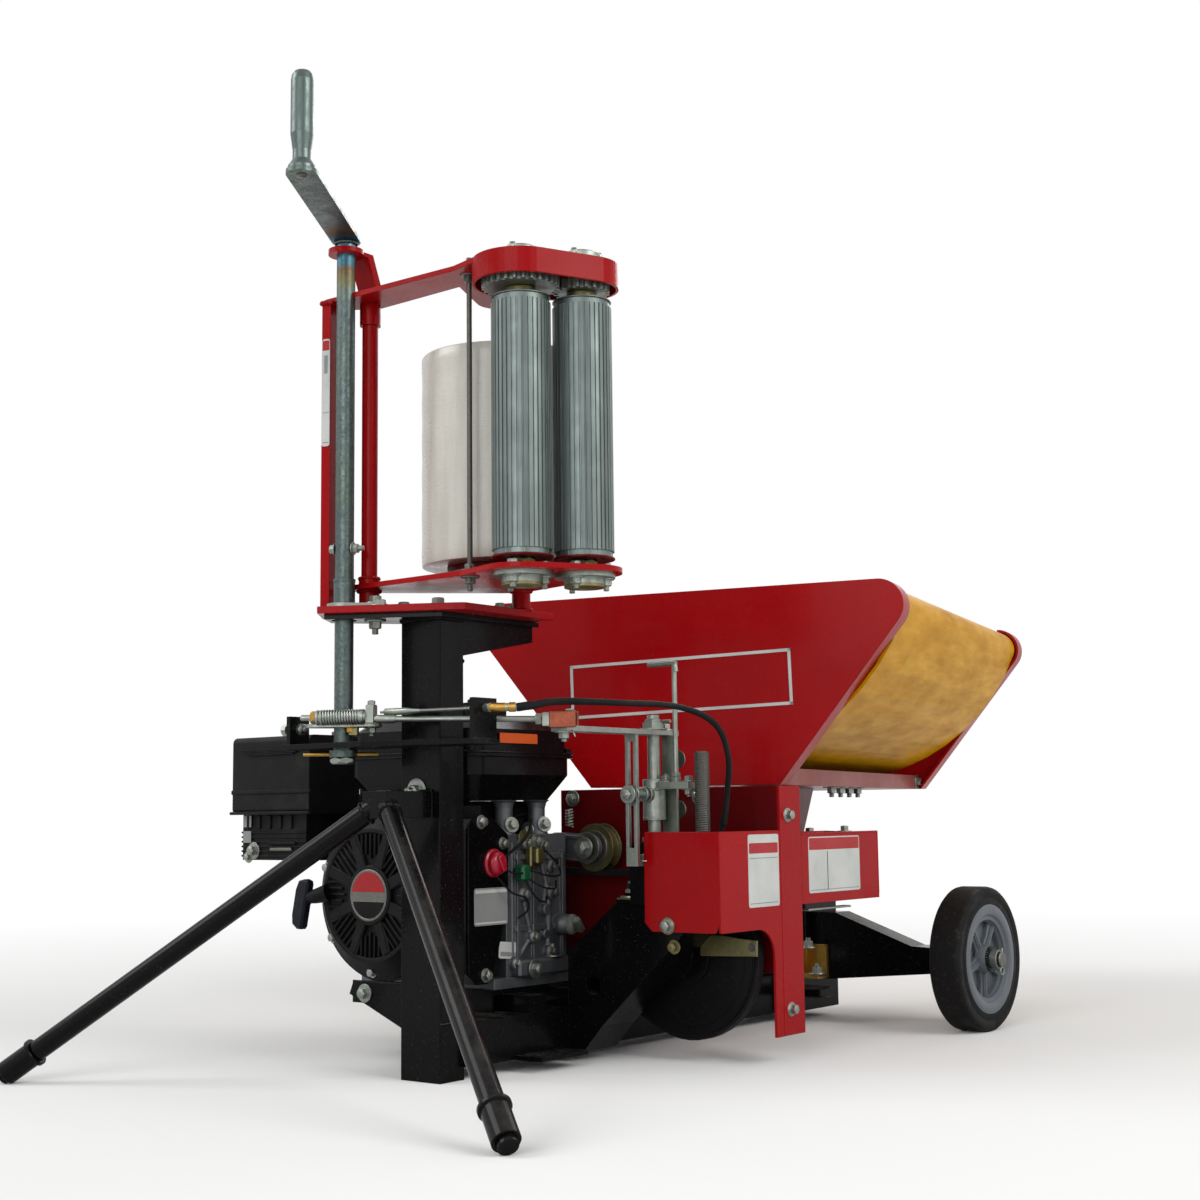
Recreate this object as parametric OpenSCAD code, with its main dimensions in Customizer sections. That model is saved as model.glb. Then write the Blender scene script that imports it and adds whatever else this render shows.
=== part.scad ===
// Small round bale wrapper: a wheeled frame with a film carrier, a turntable and a petrol engine.
// +X is the machine's right, +Y its rear, +Z up. The origin is on the ground below the front post.

/* [Front post] */
// Width of the rectangular post, across the machine
post_w = 60; // [50:1:80]
// Depth of the post, along the machine
post_d = 40; // [36:1:50]
// Height of the post's top above the ground
post_top = 522; // [500:1:540]
// Length of the black arm behind the post's top
rear_arm_len = 145; // [120:1:165]

/* [Stand legs] */
// Height of the leg bracket above the ground
leg_apex_z = 310; // [290:1:330]
// How far the left foot stands to the side
left_foot_x = 394; // [340:1:420]
// How far the right foot stands to the side
right_foot_x = 366; // [340:1:420]
// How far a foot stands before the post
foot_y = 292; // [260:1:330]
// Outer diameter of a leg tube
leg_dia = 30; // [26:1:34]
// Diameter of the sliding foot rod
foot_dia = 20; // [16:1:22]

/* [Wheels] */
// Wheel radius over the tyre
wheel_r = 96; // [88:1:100]
// Tyre width
tyre_w = 44; // [36:1:52]
// Distance from the middle of the machine to a wheel's middle
wheel_x = 316; // [300:1:340]
// Place of the axle behind the post
axle_y = 731; // [715:1:750]
// Diameter of the axle stub
axle_dia = 20; // [16:1:24]

/* [Turntable] */
// Place of the turning axis behind the post
table_y = 741; // [730:1:760]
// Angle at which the table is parked
table_yaw = 13.5; // [0:0.5:30]
// Distance over the two side plates
table_w = 748; // [700:1:750]
// Length of a side plate's top edge, if its corners were sharp
table_top_len = 664; // [620:1:680]
// Length of a side plate's bottom edge
table_bottom_len = 262; // [220:1:280]
// Height of a side plate's top edge above the ground
table_top_z = 583; // [570:1:590]
// Height of a side plate's bottom edge above the ground
table_bottom_z = 330; // [328:1:340]
// Thickness of the table's sheet metal
sheet = 4; // [3:0.5:5]
// Diameter of the belt's two rollers
belt_roller_dia = 46; // [40:1:56]

/* [Film carrier] */
// Direction in which the carrier points, from the machine's right
carrier_angle = 14.5; // [13:0.5:16]
// Height of the lower carrier plate's top
lower_plate_z = 566; // [560:1:572]
// Height of the upper carrier plate's underside
upper_plate_z = 906; // [900:1:915]
// Thickness of the carrier's plates
plate_t = 6; // [5:0.5:7]
// Diameter of a stretch roller
roller_dia = 67; // [60:1:68]
// Number of teeth of the slow roller's gear
slow_teeth = 28; // [28:1:32]
// Number of teeth of the fast roller's gear
fast_teeth = 20; // [20:1:24]
// Diameter of the film roll
film_dia = 190; // [150:1:200]
// Width of the film
film_w = 250; // [240:1:260]

/* [Control handle] */
// Outer diameter of the handle's tube
tube_dia = 22; // [20:1:26]
// Height of the tube's top above the ground
tube_top = 975; // [965:1:990]
// Length of the crank arm between its axes
crank_len = 224; // [200:1:230]
// Length of the grip
grip_len = 112; // [95:1:115]

/* [Engine] */
// Place of the crankshaft to the left of the post
crank_x = 134; // [128:1:142]
// Height of the crankshaft above the ground
crank_z = 202; // [200:1:206]
// Place of the recoil starter's face behind the post's middle
engine_y = 32; // [30:1:34]
// Radius of the blower housing
blower_r = 104; // [98:1:108]

/* [Counter] */
// Place of the guide shaft to the right of the post
shaft_x = 165; // [160:1:170]
// Place of the guide shaft behind the post
shaft_y = 207; // [204:1:210]
// Diameter of the guide shaft
shaft_dia = 15; // [12:1:16]
// Distance from the guide shaft to the screw
screw_pitch_x = 69; // [66:1:74]
// Diameter of the counting screw
screw_dia = 18; // [16:1:20]
// Right side of the red guards
guard_x = 275; // [270:1:282]
// Front face of the red counter guard
guard_y = 178; // [174:1:182]
// Place of the guard's back panel
panel_y = 308; // [304:1:314]
// Height of the back panel's top
panel_top = 327; // [305:1:327]

/* [Hidden] */
$fn = 48;

fit = 0.05;      // radial clearance of a shaft in its bearing
gap = 0.3;       // running gap between flat faces
cut = 1;         // how far a cutting tool reaches past a face

// Base frame
beam_w = 80;
beam_z0 = 14;
beam_h = 50;
beam_top = beam_z0 + beam_h;
beam_end = table_y + 60;
pedestal_w = 120;
pedestal_top = 236;
bearing_h = 14;
hub_z = pedestal_top + bearing_h + gap;
hub_t = 12;
kingpin_dia = 30;
kingpin_top = hub_z + 40;
tray_x0 = -crank_x - 102;
tray_x1 = -2;
tray_y0 = engine_y + 72;
tray_y1 = engine_y + 236;
tray_t = 6;
tray_z = 84;
engine_z = tray_z + tray_t;

// Engine and its drive
shroud_y = engine_y + 22;
case_y0 = engine_y + 70;
case_y1 = engine_y + 220;
case_top = crank_z + 70;
case_right = -8;
belt_y = case_y1 + 26;
belt_w = 13;
belt_h = 8;
small_r = 28;
large_r = 100;
large_x = 160;
large_z = 125;
idler_r = 26;
idler_pivot = [-32, 256];
idler_x = 20;
idler_y = case_y1 + 10;
idler_t = 8;
// height of the belt's upper run at the idler
run_d = [large_x + crank_x, large_z - crank_z];
run_n = let(l = norm(run_d), c = (small_r - large_r) / l, e = run_d / l)
  [c * e[0] - sqrt(1 - c * c) * e[1], c * e[1] + sqrt(1 - c * c) * e[0]];
run_z = crank_z + (small_r - run_n[0] * (idler_x + crank_x)) / run_n[1];
idler_z = run_z + (idler_r + gap) / run_n[1];
column_y0 = shaft_y + 20;
column_y1 = shaft_y + 54;
column_top = 189;

// Post top
cap_t = 6;
cap_top = post_top + cap_t;
platform_t = 8;
platform_top = cap_top + platform_t;
bearing_plate_t = 5;

// Handle
tube_x = -75;
tube_y = -69;
table_x = 0;
tube_bottom = 356;
crank_angle = -56;
crank_t = 5;
crank_w = 34;
ear_t = 6;
ear_w = 30;
ear_turn = 76;
ear_z = tube_top - 16;

// Carrier, in its own frame at the handle's tube: u along the arm, v to its left
gear_module = 3;
roller_pitch = gear_module * (slow_teeth + fast_teeth) / 2;
roll_u = 268.5;
half_du = 26.5;
half_dv = sqrt(pow(roller_pitch / 2, 2) - pow(half_du, 2));
slow_uv = [roll_u - half_du, -half_dv];
fast_uv = [roll_u + half_du, half_dv];
film_uv = [160, 92];
column_uv = [-28, 22];
round_uv = [12, 36];
tie_uv = [174, -18];
post_uv = [169, 122];
roller_z0 = lower_plate_z + 12;
roller_z1 = upper_plate_z - 38;
roller_shaft_dia = 20;
gear_z = upper_plate_z - 26;
gear_t = 12;
cover_drop = 22;
upper_top = upper_plate_z + plate_t;
flange_t = 5;
film_z = lower_plate_z + 18;
core_r = 38;
spindle_disc_t = 6;

// Counter
shaft_z0 = 262;
shaft_top = 412;
collar_dia = 27;
collar_z = 288;
collar_h = 48;
screw_x = shaft_x + screw_pitch_x;
screw_top = 367;
guard_top = 273;
guard_bottom = 160;
guard_left = guard_x - 105;
panel_left = -60;
foot_panel_z = 34;
strip_w = 47;
guard_t = 3;

// Table
table_hw = table_w / 2;
belt_inset = 32;
belt_t = 4;
corner_r = belt_roller_dia / 2 + belt_t + 6;
plate_h = table_top_z - table_bottom_z;
slope = atan2(plate_h, (table_top_len - table_bottom_len) / 2);
belt_roller_z = table_top_z - corner_r;
belt_roller_s = table_bottom_len / 2 + (plate_h - corner_r) / tan(slope) - corner_r / sin(slope);
belt_low_z = table_bottom_z + 16;
run_gap = 12;

module bar(a, b, d) {
  v = b - a;
  len = norm(v);
  translate(a)
    rotate([0, acos(v[2] / len), atan2(v[1], v[0])])
      cylinder(h = len, d = d);
}

module hex_nut(across, h, hole = 0) {
  difference() {
    cylinder(h = h, d = across / cos(30), $fn = 6);
    if (hole > 0) translate([0, 0, -cut]) cylinder(h = h + 2 * cut, d = hole);
  }
}

module at_tube() {
  translate([tube_x, tube_y, 0]) children();
}

module at_carrier() {
  at_tube() rotate([0, 0, carrier_angle]) children();
}

module at_uv(p, z = 0) {
  at_carrier() translate([p[0], p[1], z]) children();
}

module at_table() {
  translate([table_x, table_y, 0]) rotate([0, 0, table_yaw]) children();
}

module rounded_box(size, r) {
  linear_extrude(size[2])
    translate([r, r]) offset(r) square([size[0] - 2 * r, size[1] - 2 * r]);
}

// The frame that lies on the ground side
module base_frame() {
  color("#1b1c1f") {
    // main beam, from the post to behind the axle
    translate([-beam_w / 2, post_d / 2, beam_z0]) cube([beam_w, beam_end - post_d / 2, beam_h]);
    // short cross plate to the left of the post
    translate([0, post_d / 2, 0]) rotate([90, 0, 0]) linear_extrude(30)
      polygon([[-post_w / 2, 52], [-post_w / 2, 104], [-118, 104], [-124, 90]]);
    // engine cross beams and tray
    for (y = [tray_y0 + 20, tray_y1 - 50])
      translate([tray_x0, y, beam_top]) cube([beam_w / 2 - tray_x0, 30, tray_z - beam_top]);
    translate([tray_x0, tray_y0, tray_z]) cube([tray_x1 - tray_x0, tray_y1 - tray_y0, tray_t]);
    translate([tray_x0, tray_y0, tray_z - 20]) cube([tray_x1 - tray_x0, 4, 20]);
    // diagonal box that carries the counter and the large pulley's bearing
    translate([0, column_y1, 0]) rotate([90, 0, 0]) linear_extrude(column_y1 - column_y0 + 30) difference() {
      polygon([[beam_w / 2 - cut, beam_z0], [62, beam_z0], [90, 45], [204, 150], [235, column_top],
        [111, column_top], [beam_w / 2 - cut, 129]]);
      translate([78, 92]) circle(11);
    }
    translate([large_x, column_y1 - 12, large_z]) rotate([-90, 0, 0]) cylinder(h = 12, d = 52);
    // foot plate beside the beam
    translate([beam_w / 2 - cut, 96, beam_z0]) cube([42, 84, 5]);
    // struts below the guards
    translate([-30, panel_y - 10, beam_top]) cube([60, 10, 70]);
    translate([-30, 400, beam_top]) cube([60, 40, shelf_z - beam_top]);
    // pedestal and kingpin of the turntable
    translate([table_x - pedestal_w / 2, table_y - pedestal_w / 2, beam_z0])
      cube([pedestal_w, pedestal_w, pedestal_top - beam_z0]);
    translate([table_x, table_y, pedestal_top - cut]) cylinder(h = bearing_h + cut, d = 110);
    translate([table_x, table_y, pedestal_top]) cylinder(h = kingpin_top - pedestal_top, d = kingpin_dia);
  }
}
shelf_z = 185;
shelf_t = 4;

module post() {
  color("#17181a") {
    translate([-post_w / 2, -post_d / 2, 0]) cube([post_w, post_d, post_top]);
    // cap plate
    difference() {
      translate([0, 0, post_top]) linear_extrude(cap_t) polygon([[-106, -60], [-82, -94], [-45, -72],
        [40, -26], [40, rear_arm_len], [-30, rear_arm_len], [-40, 20]]);
      translate([tube_x, tube_y, post_top - cut]) cylinder(h = cap_t + 2 * cut, d = tube_dia + 8);
    }
    // tapered arm behind the post
    translate([post_w / 2, 0, 0]) rotate([0, -90, 0]) linear_extrude(post_w) polygon([
      [post_top - 42, post_d / 2 - cut], [post_top + cut, post_d / 2 - cut], [post_top + cut, rear_arm_len],
      [post_top - 18, rear_arm_len]]);
    // leg bracket on the post's front
    leg_bracket();
  }
}

// Each leg runs from the bracket to its foot's end on the ground
leg_root = [0, -80, leg_apex_z];
leg_hang = 6;
foot_end_z = 8.3;
slide_in = 90;
foot_show = 62;
function foot_side(s) = s > 0 ? right_foot_x : left_foot_x;
function leg_vec(s) = [s * (foot_side(s) - leg_hang), leg_root[1] * -1 - foot_y, foot_end_z - leg_apex_z];
function leg_len(s) = norm(leg_vec(s));

module leg_frame(s) {
  v = leg_vec(s) / leg_len(s);
  translate([s * leg_hang, leg_root[1], leg_apex_z]) rotate([0, acos(v[2]), atan2(v[1], v[0])]) children();
}

module leg_bracket() {
  translate([-18, -94, leg_apex_z - 16]) cube([36, 94 - post_d / 2, 30]);
}

module stand_legs() {
  color("#141518") difference() {
    for (s = [-1, 1]) leg_frame(s) difference() {
      union() {
        cylinder(h = leg_len(s) - foot_show, d = leg_dia);
        translate([0, 0, leg_len(s) - foot_show - 16]) cylinder(h = 16, d = leg_dia + 10);
      }
      translate([0, 0, leg_len(s) - foot_show - slide_in]) cylinder(h = slide_in + cut, d = foot_dia + 2 * fit);
    }
    leg_bracket();
  }
}

module foot(s) {
  color("#222326") leg_frame(s)
    translate([0, 0, leg_len(s) - foot_show - slide_in + gap]) cylinder(h = foot_show + slide_in - gap, d = foot_dia);
}
module foot_left() { foot(-1); }
module foot_right() { foot(1); }

module axle_beam() {
  color("#1a1b1e") for (s = [-1, 1]) {
    x0 = s > 0 ? table_x + pedestal_w / 2 : table_x - pedestal_w / 2;
    x1 = s * (wheel_x - tyre_w / 2 - 10);
    translate([0, axle_y + 20, 0]) rotate([90, 0, 0]) linear_extrude(40)
      polygon([[x0, 60], [x0, 153], [x0 + s * 51, 153], [x1 - s * 54, wheel_r + 14], [x1, wheel_r + 12],
        [x1, wheel_r - 20], [x0 + s * 40, 60]]);
    translate([x1 - s * 18, axle_y, wheel_r]) rotate([0, s * 90, 0]) cylinder(h = 18, d = 46);
    translate([x1 - s * cut, axle_y, wheel_r]) rotate([0, s * 90, 0]) cylinder(h = tyre_w + 27, d = axle_dia);
    translate([s * (wheel_x + tyre_w / 2 + gap), axle_y, wheel_r]) rotate([0, s * 90, 0]) cylinder(h = 3, d = 34);
  }
}

module tyre(s) {
  color("#1c1c1d") translate([s * wheel_x, axle_y, wheel_r]) rotate([0, 90, 0])
    rotate_extrude($fn = 96) polygon([
      [62, -tyre_w / 2 + 4], [68, -tyre_w / 2], [wheel_r - 8, -tyre_w / 2], [wheel_r, -tyre_w / 2 + 8],
      [wheel_r, tyre_w / 2 - 8], [wheel_r - 8, tyre_w / 2], [68, tyre_w / 2], [62, tyre_w / 2 - 4]]);
}
module tyre_left() { tyre(-1); }
module tyre_right() { tyre(1); }

module rim(s) {
  color("#8b8f94") translate([s * wheel_x, axle_y, wheel_r]) rotate([0, s * 90, 0]) difference() {
    union() {
      rotate_extrude($fn = 96) polygon([[52, -18], [62, -18], [62, 18], [52, 18], [50, 4], [50, -4]]);
      cylinder(h = 8, r = 51, center = true);
      cylinder(h = 44, r = 17, center = true);
      for (a = [0 : 72 : 288]) rotate([0, 0, a]) translate([14, -4, 2]) cube([38, 8, 11]);
    }
    cylinder(h = 60, r = axle_dia / 2 + fit, center = true);
  }
}
module rim_left() { rim(-1); }
module rim_right() { rim(1); }

// Red plate that carries the film unit on the post
module platform() {
  color("#b01218") difference() {
    translate([0, 0, cap_top]) linear_extrude(platform_t)
      polygon([[-121, -59], [-81, -106], [60, -28], [70, -20], [70, 138], [-24, 140], [-98, -5]]);
    translate([tube_x, tube_y, cap_top - cut]) cylinder(h = platform_t + 2 * cut, d = tube_dia + 8);
  }
}

module carrier_column() {
  color("#a51017") {
    at_uv(column_uv, platform_top)
      translate([-6, -20, 0]) cube([12, 40, upper_plate_z - platform_top]);
    at_uv(round_uv, platform_top) {
      cylinder(h = lower_plate_z - plate_t - platform_top, d = 24);
      translate([0, 0, lower_plate_z - platform_top])
        cylinder(h = upper_plate_z - lower_plate_z, d = 19);
    }
    at_uv(round_uv, lower_plate_z) cylinder(h = 8, d = 25);
    at_uv(round_uv, upper_plate_z - 26) cylinder(h = 26, d = 25);
    at_uv(post_uv, platform_top) cylinder(h = lower_plate_z - plate_t - platform_top, d = 22);
  }
}

module lower_arm() {
  color("#a51017") difference() {
    at_carrier() translate([0, 0, lower_plate_z - plate_t]) linear_extrude(plate_t) union() {
      hull() {
        translate(round_uv) circle(20);
        translate(tie_uv) circle(14);
        translate(film_uv) circle(44);
      }
      hull() {
        translate(tie_uv) circle(14);
        translate(slow_uv) circle(44);
        translate(fast_uv) circle(42);
        translate(film_uv) circle(44);
      }
    }
    for (p = [slow_uv, fast_uv])
      at_uv(p, lower_plate_z - plate_t - cut) cylinder(h = plate_t + 2 * cut, d = roller_shaft_dia + 8);
    at_uv(tie_uv, lower_plate_z - plate_t - cut) cylinder(h = plate_t + 2 * cut, d = 6 + 2 * fit);
  }
}

module cover_outline(grow) {
  hull() {
    translate(slow_uv) circle(54 + grow);
    translate(fast_uv) circle(42 + grow);
  }
}

module upper_arm() {
  color("#a51017") difference() {
    union() {
      at_carrier() {
        translate([0, 0, upper_plate_z]) linear_extrude(plate_t) {
          hull() {
            translate(column_uv) circle(14);
            translate(round_uv) circle(18);
            translate(tie_uv) circle(24);
          }
          hull() {
            translate(tie_uv) circle(24);
            translate(film_uv) circle(30);
            translate(slow_uv) circle(50);
          }
          cover_outline(0);
        }
        // rim round the gears
        translate([0, 0, upper_plate_z - cover_drop]) linear_extrude(cover_drop) difference() {
          cover_outline(0);
          cover_outline(-3);
        }
      }
      // ear that guides the handle's tube
      at_tube() translate([0, 0, ear_z]) cylinder(h = ear_t, d = 42);
      at_uv([0, 0]) rotate([0, 0, ear_turn]) translate([0, ear_w / 2, 0]) rotate([90, 0, 0]) linear_extrude(ear_w)
        polygon([[0, ear_z], [22, ear_z], [42, upper_plate_z + 2], [52, upper_plate_z + 2], [30, ear_z + ear_t - 1],
          [0, ear_z + ear_t - 1]]);
    }
    at_tube() translate([0, 0, upper_plate_z - cut])
      cylinder(h = ear_z + ear_t - upper_plate_z + 2 * cut, d = tube_dia + 2 * fit);
    for (p = [slow_uv, fast_uv])
      at_uv(p, upper_plate_z - cut) cylinder(h = plate_t + 2 * cut, d = roller_shaft_dia + 8);
    at_uv(tie_uv, upper_plate_z - cut) cylinder(h = plate_t + 2 * cut, d = 6 + 2 * fit);
  }
}

module tie_rod() {
  color("#9a9c9b") at_uv(tie_uv, 0) {
    translate([0, 0, lower_plate_z - 22]) cylinder(h = upper_top - lower_plate_z + 34, d = 6);
    for (z = [lower_plate_z - plate_t - 6, lower_plate_z, upper_plate_z - 6, upper_top])
      translate([0, 0, z]) hex_nut(11, 6);
  }
}

// Flanged bearings of the stretch rollers and the handle's bearing plates
module bearing(d_out, bore) {
  difference() {
    union() {
      cylinder(h = flange_t, d = d_out);
      translate([0, 0, flange_t]) cylinder(h = 7, d = bore + 26);
      for (a = [30, 150, 270]) rotate([0, 0, a])
        translate([d_out / 2 - 10, 0, flange_t]) hex_nut(11, 6);
    }
    translate([0, 0, -cut]) cylinder(h = 20, d = bore + 2 * fit);
  }
}

module bearings() {
  color("#b9bab2") {
    for (p = [slow_uv, fast_uv]) {
      at_uv(p, lower_plate_z - plate_t) mirror([0, 0, 1]) bearing(68, roller_shaft_dia);
      at_uv(p, upper_top) bearing(60, roller_shaft_dia);
    }
    difference() {
      translate([0, 0, platform_top]) linear_extrude(bearing_plate_t)
        at_tube_2d() hull() {
          circle(20);
          rotate([0, 0, 39]) translate([36, 0]) circle(14);
        }
      at_tube() translate([0, 0, platform_top - cut])
        cylinder(h = bearing_plate_t + 2 * cut, d = tube_dia + 2 * fit);
    }
  }
}

module at_tube_2d() {
  translate([tube_x, tube_y]) children();
}

module film_spindle() {
  color("#8f1418") at_uv(film_uv, lower_plate_z) {
    cylinder(h = film_z - gap - lower_plate_z, d = 30);
    translate([0, 0, film_z - gap - lower_plate_z - spindle_disc_t]) cylinder(h = spindle_disc_t, d = 130);
    cylinder(h = upper_plate_z - lower_plate_z, d = 22);
    translate([0, 0, film_z - gap - lower_plate_z]) cylinder(h = 30, r = core_r - fit);
    translate([0, 0, film_z + film_w - lower_plate_z - 24]) cylinder(h = 30, r = core_r - fit);
  }
}

module film_roll() {
  color("#e9e9e6") at_uv(film_uv, film_z) difference() {
    cylinder(h = film_w, d = film_dia, $fn = 96);
    translate([0, 0, -cut]) cylinder(h = film_w + 2 * cut, r = core_r);
  }
}

flutes = 36;
function flute_points(r, depth) = [for (i = [0 : flutes - 1], k = [0, 1, 2, 3])
  let(a = 360 / flutes * (i + [0.0, 0.62, 0.68, 0.94][k]), q = [r, r, r - depth, r - depth][k])
  [q * cos(a), q * sin(a)]];

module stretch_roller(p) {
  shaft_z = lower_plate_z - plate_t - flange_t - 7;
  at_uv(p, 0) {
    translate([0, 0, roller_z0 + 6]) linear_extrude(roller_z1 - roller_z0 - 12)
      polygon(flute_points(roller_dia / 2, 1.4));
    for (z = [roller_z0, roller_z1 - 6]) translate([0, 0, z]) cylinder(h = 6, d = roller_dia - 4);
    translate([0, 0, shaft_z]) cylinder(h = upper_top + flange_t + 9 - shaft_z, d = roller_shaft_dia);
  }
}
module roller_slow() { color("#8e9494") stretch_roller(slow_uv); }
module roller_fast() { color("#8e9494") stretch_roller(fast_uv); }

function gear_points(teeth) = let(r = gear_module * teeth / 2) [
  for (i = [0 : teeth - 1], k = [0, 1, 2, 3])
    let(a = 360 / teeth * (i + [-0.30, -0.14, 0.14, 0.30][k]), q = [r - 3.4, r + 1.8, r + 1.8, r - 3.4][k])
    [q * cos(a), q * sin(a)]];

module gear(p, teeth, turn) {
  at_uv(p, gear_z) rotate([0, 0, turn]) difference() {
    linear_extrude(gear_t) polygon(gear_points(teeth));
    translate([0, 0, -cut]) cylinder(h = gear_t + 2 * cut, d = roller_shaft_dia);
  }
}
mesh_dir = atan2(half_dv, half_du);
module gear_slow() { color("#c9c9c2") gear(slow_uv, slow_teeth, mesh_dir); }
module gear_fast() { color("#c9c9c2") gear(fast_uv, fast_teeth, mesh_dir + 180 + 180 / fast_teeth); }

// Handle with its tube, crank arm and grip
crank_end = [tube_x + crank_len * cos(crank_angle), tube_y + crank_len * sin(crank_angle)];
module control_shaft() {
  color("#8f9a98") {
    at_tube() translate([0, 0, tube_bottom]) cylinder(h = tube_top + 2 - tube_bottom, d = tube_dia);
    at_tube() rotate([0, 0, crank_angle]) {
      translate([0, 0, tube_top]) linear_extrude(crank_t) hull() {
        circle(d = crank_w);
        translate([crank_len, 0]) circle(d = crank_w);
      }
    }
    at_tube() translate([0, 0, tube_bottom + 8]) cylinder(h = 8, d = tube_dia + 10);
    at_tube() translate([0, 0, platform_top + bearing_plate_t + gap]) cylinder(h = 26, d = tube_dia + 3);
  }
}

module crank_grip() {
  color("#a9b1b0") translate([crank_end[0], crank_end[1], tube_top + crank_t]) rotate_extrude()
    polygon([[0, 0], [15, 0], [15, 4], [10, 12], [10, 22], [12.5, 40], [12.5, grip_len - 12],
      [11.5, grip_len - 6], [8.5, grip_len - 2], [4, grip_len], [0, grip_len]]);
}

lever_z = 398;
lever_t = 4;
lever_angle = 30;
wire_z = 414;
module lever_plate() {
  color("#b4b8b2") at_tube() rotate([0, 0, lever_angle]) {
    difference() {
      translate([0, 0, lever_z]) linear_extrude(lever_t) hull() {
        translate([-30, -6]) circle(12);
        translate([34, -6]) circle(13);
        circle(18);
      }
      translate([0, 0, lever_z - cut]) cylinder(h = lever_t + 2 * cut, d = tube_dia);
    }
    // block and spring housing
    translate([32, -22, lever_z + lever_t]) cube([9, 18, 20]);
    translate([-24, -19, lever_z + lever_t + 7]) rotate([0, 90, 0]) cylinder(h = 56, d = 14);
    translate([-24, -19, lever_z + lever_t + 7]) rotate([0, -90, 0]) hex_nut(13, 8);
    translate([-42, -19, lever_z + lever_t + 7]) rotate([0, 90, 0]) cylinder(h = 18, d = 7);
  }
}

bracket_z = 374;
bracket_t = 6;
ear_x = 105;
module control_bracket() {
  color("#17181a") {
    difference() {
      translate([0, 0, bracket_z]) linear_extrude(bracket_t) polygon([[-146, -96], [-20, -96], [ear_x + 9, -56],
        [ear_x + 9, -12], [post_w / 2, -12], [post_w / 2, -post_d / 2], [-60, -post_d / 2], [-146, -60]]);
      at_tube() translate([0, 0, bracket_z - cut]) cylinder(h = bracket_t + 2 * cut, d = tube_dia + 2 * fit);
    }
    translate([ear_x, -52, bracket_z + bracket_t - cut]) cube([6, 38, 46]);
    translate([-146, -92, bracket_z + bracket_t - cut]) cube([6, 30, 34]);
    // stop screw of the lever
    translate([-156, -77, bracket_z + 24]) rotate([0, 90, 0]) cylinder(h = 28, d = 8);
    translate([-158, -77, bracket_z + 24]) rotate([0, 90, 0]) hex_nut(13, 6);
  }
}

// Rod and wire that join the lever to the trip bar and the cable
rod_a = [-26, -67, 406];
rod_b = [150, 27, 402];
clevis_dir = atan2(rod_b[1] - rod_a[1], rod_b[0] - rod_a[0]);
trip_z = 388;
trip_t = 6;
wire_a = [-26, -58, wire_z];
cable_dir = 30;
adjuster_len = 42;
module control_rod() {
  color("#8d8f8a") {
    bar(rod_a, rod_b, 7);
    translate([rod_b[0], rod_b[1], trip_z + trip_t]) rotate([0, 0, clevis_dir]) translate([-4, -8, 0]) cube([32, 16, 15]);
    bar(wire_a, [ear_x, -33, wire_z], 3);
    translate([ear_x - 6, -33, wire_z]) rotate([0, 90, 0]) hex_nut(13, 6);
    translate([ear_x + 6, -33, wire_z]) rotate([0, 90, 0]) cylinder(h = 8, d = 10);
    translate([ear_x + 10, -33, wire_z]) rotate([0, 90, cable_dir]) cylinder(h = adjuster_len - 6, d = 9);
  }
}

// Cable: a round tube swept along chosen points
cable_d = 7;
cable_pts = let(e = [ear_x + 10 + (adjuster_len - 6) * cos(cable_dir), -33 + (adjuster_len - 6) * sin(cable_dir), wire_z]) [
  e, e + 12 * [cos(cable_dir), sin(cable_dir), 0], e + [32, 26, 5], [214, 82, 419], [243, 150, 416], [258, 200, 398],
  [257, 228, 362], [246, 241, 318], [236, 243, 276], [236, 243, 262.2]];
cable_steps = 5;
cable_sides = 10;
function spline(p, q, r, s, t) = 0.5 * (2 * q + (r - p) * t + (2 * p - 5 * q + 4 * r - s) * t * t
  + (3 * q - p - 3 * r + s) * t * t * t);
function pick(v, i) = v[max(0, min(len(v) - 1, i))];
function smooth(v, n) = concat([for (i = [0 : len(v) - 2], k = [0 : n - 1])
  spline(pick(v, i - 1), v[i], v[i + 1], pick(v, i + 2), k / n)], [v[len(v) - 1]]);
function unit(v) = v / norm(v);
module tube_along(path, d, sides) {
  n = len(path);
  rings = [for (i = [0 : n - 1]) let(
    t = unit(pick(path, i + 1) - pick(path, i - 1)),
    a = unit(cross(t, [0.8, -0.6, 0.05])),
    b = cross(t, a))
    for (k = [0 : sides - 1]) path[i] + d / 2 * (cos(360 * k / sides) * a + sin(360 * k / sides) * b)];
  polyhedron(points = rings, faces = concat(
    [[for (k = [0 : sides - 1]) k]],
    [[for (k = [0 : sides - 1]) n * sides - 1 - k]],
    [for (i = [0 : n - 2], k = [0 : sides - 1]) let(m = (k + 1) % sides)
      [i * sides + k, (i + 1) * sides + k, (i + 1) * sides + m, i * sides + m]]));
}
module control_cable() {
  color("#101114") tube_along(smooth(cable_pts, cable_steps), cable_d, cable_sides);
}

module counter_gearbox() {
  color("#1a1b1d") {
    translate([140, shaft_y - 17, column_top]) cube([118, 72, shaft_z0 - column_top - 6]);
    translate([136, shaft_y - 19, shaft_z0 - 6]) cube([124, 76, 6]);
    translate([112, shaft_y - 8, column_top]) cube([28, 30, 5]);
    translate([124, shaft_y + 6, column_top]) cylinder(h = 24, d = 8);
    translate([124, shaft_y + 6, column_top + 5]) hex_nut(13, 8);
  }
}

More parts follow.
